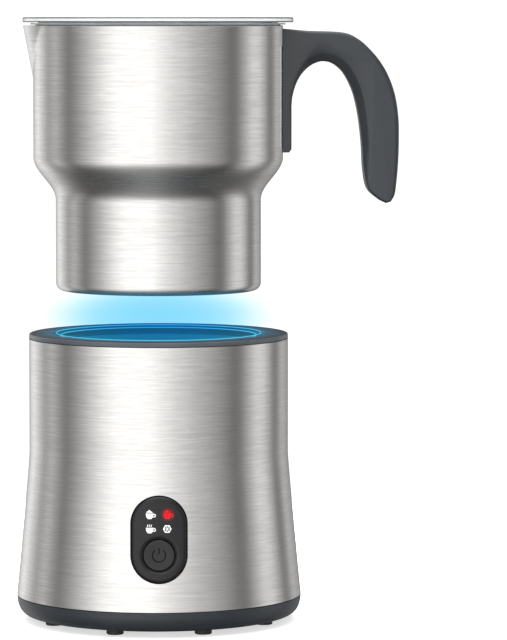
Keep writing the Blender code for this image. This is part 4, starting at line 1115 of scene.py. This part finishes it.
def seal_profile():
    """The seal's section: a flange on the rim and a band down inside it with two soft grooves."""
    flange = (seal_high.x - seal_low.x) / 2
    out, inside = SEAL_RADIUS, SEAL_RADIUS - SEAL_WALL
    groove = SEAL_RADIUS - 0.25 * MM
    low, top = seal_low.z, seal_high.z
    rim = JUG_TOP + FIT
    soft = 0.3 * MM
    corners = [
        (inside, top, 0), (flange, top, soft), (flange, rim, soft), (out, rim, 0),
        (out, low + 3.6 * MM, soft), (groove, low + 3.1 * MM, soft), (out, low + 2.6 * MM, soft),
        (groove, low + 1.6 * MM, soft), (out, low, 0.2 * MM), (inside, low, 0.2 * MM),
    ]
    return rounded([*corners, (inside, top, 0)], 4)[:-1]


def handle_knots():
    """Round the handle's side: distance from the jug's wall, height above the rim, and the edge radius there.

    The three runs go over the handle, back under it, and round the strap's lower end. They are laid out in
    millimetres.
    """
    reach = (handle_high.x - AXIS - JUG_RADIUS) / MM
    strap_out = (handle_low.x - AXIS - JUG_RADIUS) / MM + 1.8
    strap_in = 1.2 * FIT / MM
    end = -50.2
    over = [
        (strap_in, -1.3, 0.5), (10.0, -2.2, 1.3), (reach - 22.4, -2.8, 1.5), (reach - 16.2, -5.4, 1.6),
        (reach - 11.4, -9.6, 1.7), (reach - 7.4, -14.4, 1.8), (reach - 4.0, -20.4, 1.9),
        (reach - 1.5, -27.8, 2.0), (reach - 0.2, -36.4, 2.0), (reach, -45.4, 2.0), (reach - 0.3, -54.4, 1.8),
        (reach - 1.0, -62.4, 1.6), (reach - 1.7, -67.0, 1.3), (reach - 3.2, -69.7, 1.2),
    ]
    under = [
        (reach - 5.2, -70.3, 1.2), (reach - 8.8, -68.4, 1.5), (reach - 12.4, -64.6, 1.8),
        (reach - 13.9, -57.0, 2.3), (reach - 14.5, -47.0, 2.7), (reach - 15.8, -36.0, 3.0),
        (reach - 18.0, -26.6, 3.3), (reach - 21.6, -19.2, 3.5), (reach - 25.8, -15.3, 3.5),
        (strap_out + 12.4, -14.2, 3.3), (strap_out + 9.4, -14.9, 3.0), (strap_out + 7.0, -16.2, 2.7),
        (strap_out + 4.8, -18.2, 2.3), (strap_out + 2.9, -20.8, 1.9), (strap_out + 1.4, -24.0, 1.4),
        (strap_out + 0.3, -28.0, 0.9), (strap_out, -32.0, 0.7),
    ]
    strap = [(strap_out, end + 1.4, 0.5), (strap_out - 0.7, end, 0.35), (strap_in, end, 0.3)]
    return [np.array(run) * MM for run in (over, under, strap)]


def spaced(run, step):
    """Points at even distances along a run, by straight interpolation of the way gone."""
    way = np.concatenate([[0.0], np.cumsum(np.linalg.norm(np.diff(run[:, :2], axis=0), axis=1))])
    count = max(2, int(round(way[-1] / step)) + 1)
    at = np.linspace(0, way[-1], count)
    return np.column_stack([np.interp(at, way, run[:, k]) for k in range(run.shape[1])])


def handle_mesh():
    """The handle: its side outline carried across its width, and drawn in along the outline's normals.

    A ring at angle t of the edge is moved in by radius x (1 - cos t) and lies radius x (1 - sin t) from the
    side, where the radius changes along the outline. Where it is wide the edge turns into a flat slope.
    Points by the jug are bowed to its wall. Flat sides close both ends.
    """
    over, under, strap = handle_knots()
    pitch, strap_pitch = 0.8 * MM, 0.5 * MM
    strap_depth = 3.2 * MM
    outline = np.concatenate(
        [spaced(catmull(over, 12), pitch), spaced(catmull(under, 12), pitch), spaced(strap, strap_pitch)]
    )
    gap = np.linalg.norm(np.diff(outline[:, :2], axis=0, append=outline[:1, :2]), axis=1)
    outline = outline[gap > 0.05 * MM]
    way = np.roll(outline[:, :2], -1, axis=0) - np.roll(outline[:, :2], 1, axis=0)
    way /= np.linalg.norm(way, axis=1, keepdims=True)
    inward = np.column_stack([way[:, 1], -way[:, 0]])
    for _ in range(3):
        inward = (np.roll(inward, 1, axis=0) + 2 * inward + np.roll(inward, -1, axis=0)) / 4
    radius = outline[:, 2]
    flat = np.clip((radius - 2.0 * MM) / (0.8 * MM), 0, 1)
    t = np.linspace(math.pi / 2, 0, 9)
    wall = outline[:, 0].min()
    rows = []
    for side, angles in ((-1, t), (1, t[::-1])):
        for a in angles:
            share = a / (math.pi / 2)
            drawn_in = (1 - flat) * (1 - math.cos(a)) + flat * share
            set_back = (1 - flat) * (1 - math.sin(a)) + flat * (1 - share)
            moved = outline[:, :2] + inward * (radius * drawn_in)[:, None]
            across = side * (HANDLE_WIDTH / 2 - radius * set_back)
            bow = JUG_RADIUS - np.sqrt(JUG_RADIUS**2 - across**2)
            near = np.clip(1 - (moved[:, 0] - wall) / strap_depth, 0, 1)
            x = AXIS + JUG_RADIUS + moved[:, 0] - bow * near
            rows.append(np.column_stack([x, across, JUG_TOP + moved[:, 1]]))
    return mesh_from_grid("handle_grip", np.array(rows), flat_ends=True, sharp=60)


def screw_mesh(name, low, high):
    """A flat head on its shank, turned about X, with a cross cut in the head."""
    y, z = (low.y + high.y) / 2, (low.z + high.z) / 2
    radius, shank = (high.y - low.y) / 2, 1.2 * MM
    seat = high.x - 0.8 * MM
    profile = rounded([(0, high.x, 0), (radius, high.x, 0.25 * MM), (radius, seat, 0),
                       (shank, seat, 0), (shank, low.x, 0), (0, low.x, 0)])
    a = around(48)
    r, x = profile[:, :1], profile[:, 1:]
    head = mesh_from_grid(name, np.stack([x + 0 * a, y + r * np.cos(a), z + r * np.sin(a)], axis=-1))
    long, narrow = 1.3 * MM, 0.22 * MM
    tools = []
    for wide, tall in ((long, narrow), (narrow, long)):
        corners = np.array([(-wide, -tall), (wide, -tall), (wide, tall), (-wide, tall)])
        rows = [np.column_stack([np.full(4, depth), y + corners[:, 0], z + corners[:, 1]])
                for depth in (high.x - 0.45 * MM, high.x + 1.0 * MM)]
        tools.append(mesh_from_grid("cross", np.array(rows), flat_ends=True))
    return cut(head, *tools)


# ---------------------------------------------------------------- whisk
def hub_profile():
    """The whisk's section: a flat disc with a rounded edge, a waisted hub with a domed top, and its bore."""
    radius, bore = (disc_high.x - disc_low.x) / 2, 1.9 * MM
    low, top = disc_low.z, disc_high.z
    face, ceiling = low + 4.0 * MM, top - 2.0 * MM
    return rounded(
        [
            (0, top, 0), (3.0 * MM, top, 1.2 * MM), (4.0 * MM, top - 1.6 * MM, 1.0 * MM),
            (3.4 * MM, low + 6.6 * MM, 2.0 * MM), (5.4 * MM, face, 1.4 * MM), (radius, face, 0.6 * MM),
            (radius, low, 0.6 * MM), (bore, low, 0.3 * MM), (bore, ceiling, 0), (0, ceiling, 0),
        ]
    )


def pin_profile():
    """The whisk's pin: a thin post with a rounded top on a round foot."""
    low, top = post_low.z, post_high.z
    post, foot = 1.5 * MM, 4.5 * MM
    step = low + 0.6 * MM
    return rounded([(0, top, 0), (post, top, 0.6 * MM), (post, step, 0.5 * MM), (foot, step, 0.25 * MM),
                    (foot, low, 0), (0, low, 0)])


def coil_mesh():
    """The wire: a helix wound round a ring, carried as a small circle square to the helix.

    The centre line is (R + q cos k a) out and q sin k a up at angle a, with k turns round the ring. The
    wire's circle is spanned by the normal away from the ring's core and the tangent's cross product with it.
    """
    shapes = bpy.context.scene.frother_shapes
    points_per_turn = 18
    outside = (coil_high.x - coil_low.x) / 2
    section = (coil_high.z - coil_low.z) / 2
    wire = shapes.wire_radius
    q = section - wire
    ring = outside - section
    a = around(shapes.wire_turns * points_per_turn)
    turn = shapes.wire_turns * a
    flat = ring + q * np.cos(turn)
    line = np.column_stack([flat * np.cos(a), flat * np.sin(a), q * np.sin(turn)])
    core = np.column_stack([ring * np.cos(a), ring * np.sin(a), 0 * a])
    way = np.roll(line, -1, axis=0) - np.roll(line, 1, axis=0)
    way /= np.linalg.norm(way, axis=1, keepdims=True)
    normal = line - core
    normal -= way * np.einsum("ij,ij->i", normal, way)[:, None]
    normal /= np.linalg.norm(normal, axis=1, keepdims=True)
    side = np.cross(way, normal)
    b = around(8)
    circle = normal[:, None] * np.cos(b)[None, :, None] + side[:, None] * np.sin(b)[None, :, None]
    grid = line[:, None] + wire * circle + np.array([AXIS, 0, (coil_low.z + coil_high.z) / 2])
    return mesh_from_grid("wire_coil", grid, wrap_rows=True, sharp=80)


# ---------------------------------------------------------------- operators
class BuilderOperator:
    """What every piece's operator shares."""

    bl_options = {"REGISTER", "UNDO"}


class FROTHER_OT_base(BuilderOperator, Operator):
    """Build the base's sleeve, rim, well, pan, feet and cord gland"""

    bl_idname = "frother.base"
    bl_label = "Base"

    def execute(self, context):
        """Adds the base's pieces."""
        piece("steel_sleeve", skin_mesh(), "base", "brushed_steel", LOOKS["skin_steel"], "outer_skin")
        ring = turned("rim_ring", ring_profile(), ring=True)
        piece("rim_ring", ring, "base", "slate_plastic", LOOKS["rim"], "top_ring")
        well = turned("well_cup", refined(well_profile(), 6 * MM))
        piece("well_cup", well, "base", "slate_plastic", LOOKS["well"], "well_liner")
        pan = turned("bottom_pan", pan_profile())
        recesses = []
        for i in range(1, 9):
            low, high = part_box(f"foot_{i}")
            centre = ((low.x + high.x) / 2, (low.y + high.y) / 2)
            radius = (high.x - low.x) / 2
            pad = turned(f"foot_pad_{i}", foot_profile(radius, high.z), SMALL_COLUMNS, centre)
            piece(f"foot_pad_{i}", pad, "base", "rubber", LOOKS["rubber"], f"foot_{i}")
            recesses.append(turned("recess", foot_recess(radius, high.z), SMALL_COLUMNS, centre))
        for i in range(1, 5):
            low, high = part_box(f"pan_screw_{i}")
            centre = ((low.x + high.x) / 2, (low.y + high.y) / 2)
            recesses.append(turned("recess", screw_recess(), SMALL_COLUMNS, centre))
        pan = cut(pan, joined("recesses", recesses))
        piece("bottom_pan", pan, "base", "dark_plastic", LOOKS["pan"], "base_pan")
        piece("gland_ring", gland_mesh(), "base", "rubber", LOOKS["rubber"], "cord_gland")
        return {"FINISHED"}


class FROTHER_OT_panel(BuilderOperator, Operator):
    """Build the control panel with its signs and its key"""

    bl_idname = "frother.panel"
    bl_label = "Control panel"

    def execute(self, context):
        """Adds the panel, four signs, the key and its sign."""
        piece("panel_shell", panel_mesh(), "base", "panel_black", LOOKS["black"], "control_panel")
        names = ("sign_foam", "sign_lit_foam", "sign_steam", "sign_frost")
        scale, raised, nudge = 1.12 * MM, 0.03 * MM, 0.2 * MM
        for name, (x, z) in zip(names, icon_places()):
            lay = lay_on_panel(x - nudge, z, scale, raised)
            if name == "sign_frost":
                parts = frost_sign(lay)
            else:
                parts = cup_sign(lay, "steam" if name == "sign_steam" else "foam")
            look = LOOKS["red" if name == "sign_lit_foam" else "white"]
            piece(name, joined(name, parts), "base", "led_epoxy", look)
        piece("key_cap", button_mesh(), "button", "panel_black", LOOKS["key"], "power_button")
        piece("power_sign", power_sign(), "button", "panel_black", LOOKS["mark"])
        return {"FINISHED"}


class FROTHER_OT_jug(BuilderOperator, Operator):
    """Build the jug and its handle"""

    bl_idname = "frother.jug"
    bl_label = "Jug"

    def execute(self, context):
        """Adds the jug, its handle and the two screws."""
        piece("jug_shell", jug_mesh(), "jug", "brushed_steel", LOOKS["jug_steel"], "jug_body")
        grip = piece("handle_grip", handle_mesh(), "jug", "slate_plastic", LOOKS["slate"], "handle")
        grip.visible_glossy = False
        for i in (1, 2):
            name = f"strap_screw_{i}"
            mesh = screw_mesh(name, *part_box(f"handle_screw_{i}"))
            piece(name, mesh, "jug", "plain_steel", LOOKS["steel"], f"handle_screw_{i}")
        return {"FINISHED"}


class FROTHER_OT_lid(BuilderOperator, Operator):
    """Build the clear lid and its seal"""

    bl_idname = "frother.lid"
    bl_label = "Lid"

    def execute(self, context):
        """Adds the lid and the seal."""
        plate = turned("lid_plate", refined(lid_profile(), 9 * MM))
        piece("lid_plate", plate, "lid", "clear_plastic", LOOKS["clear"], "lid_disc")
        seal = turned("lid_seal", seal_profile(), ring=True)
        piece("lid_seal", seal, "lid", "silicone", LOOKS["seal"], "lid_gasket")
        return {"FINISHED"}


class FROTHER_OT_whisk(BuilderOperator, Operator):
    """Build the whisk and the pin that it turns on"""

    bl_idname = "frother.whisk"
    bl_label = "Whisk"

    def execute(self, context):
        """Adds the whisk's hub, its wire and the pin."""
        hub = turned("whisk_hub", hub_profile(), 96)
        piece("whisk_hub", hub, "whisk", "dark_plastic", LOOKS["dark"], "whisk_disc")
        piece("wire_coil", coil_mesh(), "whisk", "plain_steel", LOOKS["wire"], "whisk_coil")
        pin = turned("whisk_pin", pin_profile(), 48)
        piece("whisk_pin", pin, "jug", "plain_steel", LOOKS["steel"], "whisk_post")
        return {"FINISHED"}


class FROTHER_OT_inside(BuilderOperator, Operator):
    """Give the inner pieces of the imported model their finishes"""

    bl_idname = "frother.inside"
    bl_label = "Inner finishes"

    def execute(self, context):
        """Puts a finish on every node that is still shown."""
        for name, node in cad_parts.items():
            if node.hide_render:
                continue
            stem = name.rstrip("0123456789").rstrip("_")
            look = LOOKS[NODE_LOOKS[stem]]
            if not node.material_slots:
                node.data.materials.append(look)
            for slot in node.material_slots:
                slot.link = "OBJECT"
                slot.material = look
        return {"FINISHED"}


# ---------------------------------------------------------------- studio
NEAR_FLOOR, FAR_FLOOR, DOME_RADIUS = 0.4, 4.4, 4.5
WHITE_GLOW = 1.1  # light of the backdrop and of the floor beyond the near part
SKY_BANDS = (  # studio walls from the back round by -X: degrees from the front towards +X, and display grey
    (-180, 55), (-166, 150), (-156, 196), (-146, 222), (-134, 190), (-122, 142), (-109, 176), (-99, 138),
    (-91, 100), (-82, 134), (-72, 168), (-60, 208), (-48, 244), (-38, 263), (-6, 263), (2, 240),
    (20, 208), (36, 178), (52, 152), (62, 130), (70, 96), (77, 98), (86, 158), (97, 208),
    (106, 206), (115, 166), (124, 100), (130, 112), (140, 168), (158, 140), (168, 110), (180, 50),
)
STEEL_REFLECTANCE = 0.62  # share of the walls' light that the steel gives back


def grey(value):
    """Linear light of a display grey from 0 to 255, by the display's 2.2 power."""
    return (value / 255.0) ** 2.2


def make_sky(strength):
    """A world of upright bands: grey as a function of azimuth, soft white overhead and dim from below."""
    world = bpy.data.worlds.new("studio")
    bpy.context.scene.world = world
    world.use_nodes = True
    tree = world.node_tree
    split = tree.nodes.new("ShaderNodeSeparateXYZ")
    tree.links.new(add_node(tree, "TexCoord", output="Generated"), split.inputs[0])
    x, y, up = split.outputs
    forward = add_node(tree, "Math", {0: y, 1: -1.0}, operation="MULTIPLY")
    azimuth = add_node(tree, "Math", {0: x, 1: forward}, operation="ARCTAN2")
    share = add_node(tree, "Math", {0: azimuth, 1: 0.5 / math.pi, 2: 0.5}, operation="MULTIPLY_ADD")
    ramp = tree.nodes.new("ShaderNodeValToRGB")
    tree.links.new(share, ramp.inputs[0])
    bands = ramp.color_ramp
    bands.interpolation = "EASE"
    while len(bands.elements) < len(SKY_BANDS):
        bands.elements.new(0.5)
    for element, (angle, _) in zip(bands.elements, SKY_BANDS):
        element.position = (angle + 180) / 360
    for element, (_, value) in zip(bands.elements, SKY_BANDS):
        element.color = (*(grey(value) / STEEL_REFLECTANCE,) * 3, 1.0)
    overhead, dim = (
        add_node(tree, "MapRange", {0: up, **limits}, interpolation_type="SMOOTHSTEP")
        for limits in ({1: 0.74, 2: 0.94, 3: 0.0, 4: 1.0}, {1: -0.75, 2: -0.3, 3: 0.16, 4: 1.0})
    )
    walls = {0: overhead, 6: ramp.outputs[0], 7: (3.6, 3.6, 3.6)}
    background = tree.nodes["Background"]
    feed(tree, background.inputs[0], add_node(tree, "Mix", walls, output=2, data_type="RGBA"))
    feed(tree, background.inputs[1], add_node(tree, "Math", {0: dim, 1: strength}, operation="MULTIPLY"))


def plain_light(name, glow, paint=0.0, colour=(1.0, 1.0, 1.0)):
    """A matt grey that gives off some light of its own, in a colour, and takes the rest from the studio."""
    look = Recipe(name, Base_Color=(paint,) * 3, Roughness=0.9, Specular_IOR_Level=0.0)
    look.set(Emission_Color=colour, Emission_Strength=glow)
    return look.material


def staged(name, mesh, look):
    """A stage object with a look."""
    made = bpy.data.objects.new(name, mesh)
    bpy.context.scene.collection.objects.link(made)
    mesh.materials.append(look)
    return made


def floor_mesh(name, inner, outer):
    """A flat ring on the floor about the origin."""
    return open_mesh(name, turned_grid(np.array([(inner, 0.0), (outer, 0.0)]), 128, (0.0, 0.0)))


def open_mesh(name, grid):
    """An open sheet between rows of points that are closed loops."""
    rows, columns = grid.shape[:2]
    i, j = np.arange(rows - 1)[:, None], np.arange(columns)[None, :]
    corners = [(i, j), (i, j + 1), (i + 1, j + 1), (i + 1, j)]
    faces = np.stack([a * columns + b % columns for a, b in corners], axis=-1).reshape(-1, 4)
    mesh = bpy.data.meshes.new(name)
    mesh.from_pydata(grid.reshape(-1, 3).tolist(), [], faces.tolist())
    return mesh


def haze_look(middle, reach, half_height, strength):
    """Blue haze: it takes the red out of light and glows a little, most in its middle, none at its rim."""
    made = bpy.data.materials.new("blue_haze")
    made.use_nodes = True
    tree = made.node_tree
    tree.nodes.remove(tree.nodes["Principled BSDF"])
    size = (1 / reach, 1 / reach, 1 / half_height)
    place = add_node(tree, "TexCoord", output="Object")
    moved = add_node(tree, "VectorMath", {0: place, 1: middle}, operation="SUBTRACT")
    scaled = add_node(tree, "VectorMath", {0: moved, 1: size}, operation="MULTIPLY")
    away = add_node(tree, "VectorMath", {0: scaled}, output="Value", operation="LENGTH")
    amount = add_node(
        tree, "MapRange", {0: away, 1: 0.45, 2: 1.0, 3: 1.0, 4: 0.0}, interpolation_type="SMOOTHSTEP"
    )
    density = add_node(tree, "Math", {0: amount, 1: strength}, operation="MULTIPLY")
    glow = add_node(tree, "Math", {0: amount, 1: strength * 0.045}, operation="MULTIPLY")
    taking = add_node(tree, "VolumeAbsorption", {"Color": (0.0, 0.69, 1.0), "Density": density})
    giving = add_node(tree, "Emission", {"Color": (0.02, 0.45, 1.0), "Strength": glow})
    both = add_node(tree, "AddShader", {0: taking, 1: giving})
    feed(tree, tree.nodes["Material Output"].inputs["Volume"], both)
    return made


def make_backdrop(settings):
    """The floor in two rings and a white dome. Nothing mirrors them, and only the near floor gives light."""
    floor_white = plain_light("floor_white", settings.floor_glow, 0.78)
    near = staged("floor_near", floor_mesh("floor_near", 1e-4, NEAR_FLOOR), floor_white)
    near.visible_glossy = False
    far_mesh = floor_mesh("floor_far", NEAR_FLOOR, FAR_FLOOR)
    far = staged("floor_far", far_mesh, plain_light("far_white", WHITE_GLOW))
    up = np.radians(np.linspace(-90, 90, 33))
    dome = turned_grid(DOME_RADIUS * np.column_stack([np.cos(up), np.sin(up)]), 64, (0.0, 0.0))
    backdrop = staged("backdrop", open_mesh("backdrop", dome), plain_light("back_white", WHITE_GLOW))
    for unseen in (far, backdrop):
        unseen.visible_diffuse = unseen.visible_glossy = False
        unseen.visible_shadow = unseen.visible_volume_scatter = False


def make_haze(strength):
    """A lens of blue haze over the well: half an ellipse turned round the axis."""
    middle = (AXIS, 0.0, BASE_TOP + 6.5 * MM)
    reach, half_height = BASE_RADIUS + 2.0 * MM, 17 * MM
    t = np.linspace(-math.pi / 2, math.pi / 2, 17)
    lens = np.column_stack([reach * np.cos(t), middle[2] + half_height * np.sin(t)])[1:-1]
    look = haze_look(middle, reach, half_height, strength)
    haze = staged("blue_haze", turned("blue_haze", lens, 64), look)
    haze.visible_shadow = haze.visible_diffuse = False


def make_painted_gleams():
    """Two thin glowing rings, painted highlights, in the mouth of the well and just inside it."""
    look = plain_light("painted_gleam", 1.0, colour=(0.09, 0.62, 0.95))
    thickness = 0.17 * MM
    b = around(8)
    for name, inset, height in (("painted_gleam_mouth", 0.6 * MM, 0.1 * MM), ("painted_gleam_well", 2.4 * MM, -0.8 * MM)):
        r = WELL_RADIUS - inset + thickness * np.cos(b)
        thread = np.column_stack([r, BASE_TOP + height + thickness * np.sin(b)])
        arc = staged(name, turned(name, thread, ring=True), look)
        arc.visible_diffuse = arc.visible_glossy = arc.visible_shadow = False


def make_soft_box(scene, power):
    """A soft round light overhead, a little to the left and in front, that steel doesn't mirror."""
    lamp = bpy.data.lights.new("soft_box", "AREA")
    lamp.shape, lamp.size, lamp.energy = "DISK", 1.4, power
    light = bpy.data.objects.new("soft_box", lamp)
    light.location = (AXIS - 0.25, -0.2, 1.7)
    light.visible_camera = light.visible_glossy = False
    scene.collection.objects.link(light)


def make_camera(scene):
    """A long lens in front, level with the jug's rim, that looks down a little and right of the axis."""
    pitch, turn = math.radians(-4.266), math.radians(-1.361)
    data = bpy.data.cameras.new("camera")
    data.lens, data.sensor_width = 226.2, 36.0
    data.clip_start, data.clip_end = 0.05, 60.0
    camera = bpy.data.objects.new("camera", data)
    camera.location = (AXIS - 0.15 * MM, -1.6, 0.2392)
    camera.rotation_euler = (math.radians(90) + pitch, 0, turn)
    scene.collection.objects.link(camera)
    scene.camera = camera


class FROTHER_OT_stage(BuilderOperator, Operator):
    """Build the studio: floor, backdrop, sky, soft box, blue haze and the camera"""

    bl_idname = "frother.stage"
    bl_label = "Studio"

    def execute(self, context):
        """Adds the stage."""
        settings = context.scene.frother_stage
        make_sky(settings.sky)
        make_backdrop(settings)
        make_haze(settings.haze)
        make_soft_box(context.scene, settings.soft_box)
        make_painted_gleams()
        make_camera(context.scene)
        context.scene.view_settings.view_transform = "Standard"
        return {"FINISHED"}


class FROTHER_PT_sidebar(Panel):
    """The builder's buttons and settings"""

    bl_idname = "FROTHER_PT_sidebar"
    bl_label = "Milk Frother"
    bl_space_type = "VIEW_3D"
    bl_region_type = "UI"
    bl_category = "Frother"

    def draw(self, context):
        """Lists the operators and every setting."""
        for operator in OPERATORS:
            self.layout.operator(operator.bl_idname)
        for group in (getattr(context.scene, name) for name in GROUPS):
            box = self.layout.box()
            for name in group.__annotations__:
                box.prop(group, name)


GROUPS = {"frother_shapes": FrotherShapes, "frother_finishes": FrotherFinishes, "frother_stage": FrotherStage}
OPERATORS = (
    FROTHER_OT_stage, FROTHER_OT_base, FROTHER_OT_panel, FROTHER_OT_jug, FROTHER_OT_lid, FROTHER_OT_whisk,
    FROTHER_OT_inside,
)


def register():
    """Registers the classes and hangs the settings on the scene."""
    for kind in (*GROUPS.values(), *OPERATORS, FROTHER_PT_sidebar):
        bpy.utils.register_class(kind)
    for name, kind in GROUPS.items():
        setattr(bpy.types.Scene, name, PointerProperty(type=kind))


def unregister():
    """Takes the settings and the classes away again."""
    for name in GROUPS:
        delattr(bpy.types.Scene, name)
    for kind in (FROTHER_PT_sidebar, *OPERATORS, *GROUPS.values()):
        bpy.utils.unregister_class(kind)


def main():
    """Builds everything in order."""
    register()
    make_looks()
    bpy.ops.frother.stage()
    bpy.ops.frother.base()
    bpy.ops.frother.panel()
    bpy.ops.frother.jug()
    bpy.ops.frother.lid()
    bpy.ops.frother.whisk()
    bpy.ops.frother.inside()
    bpy.context.view_layer.update()


if __name__ == "__main__":
    main()
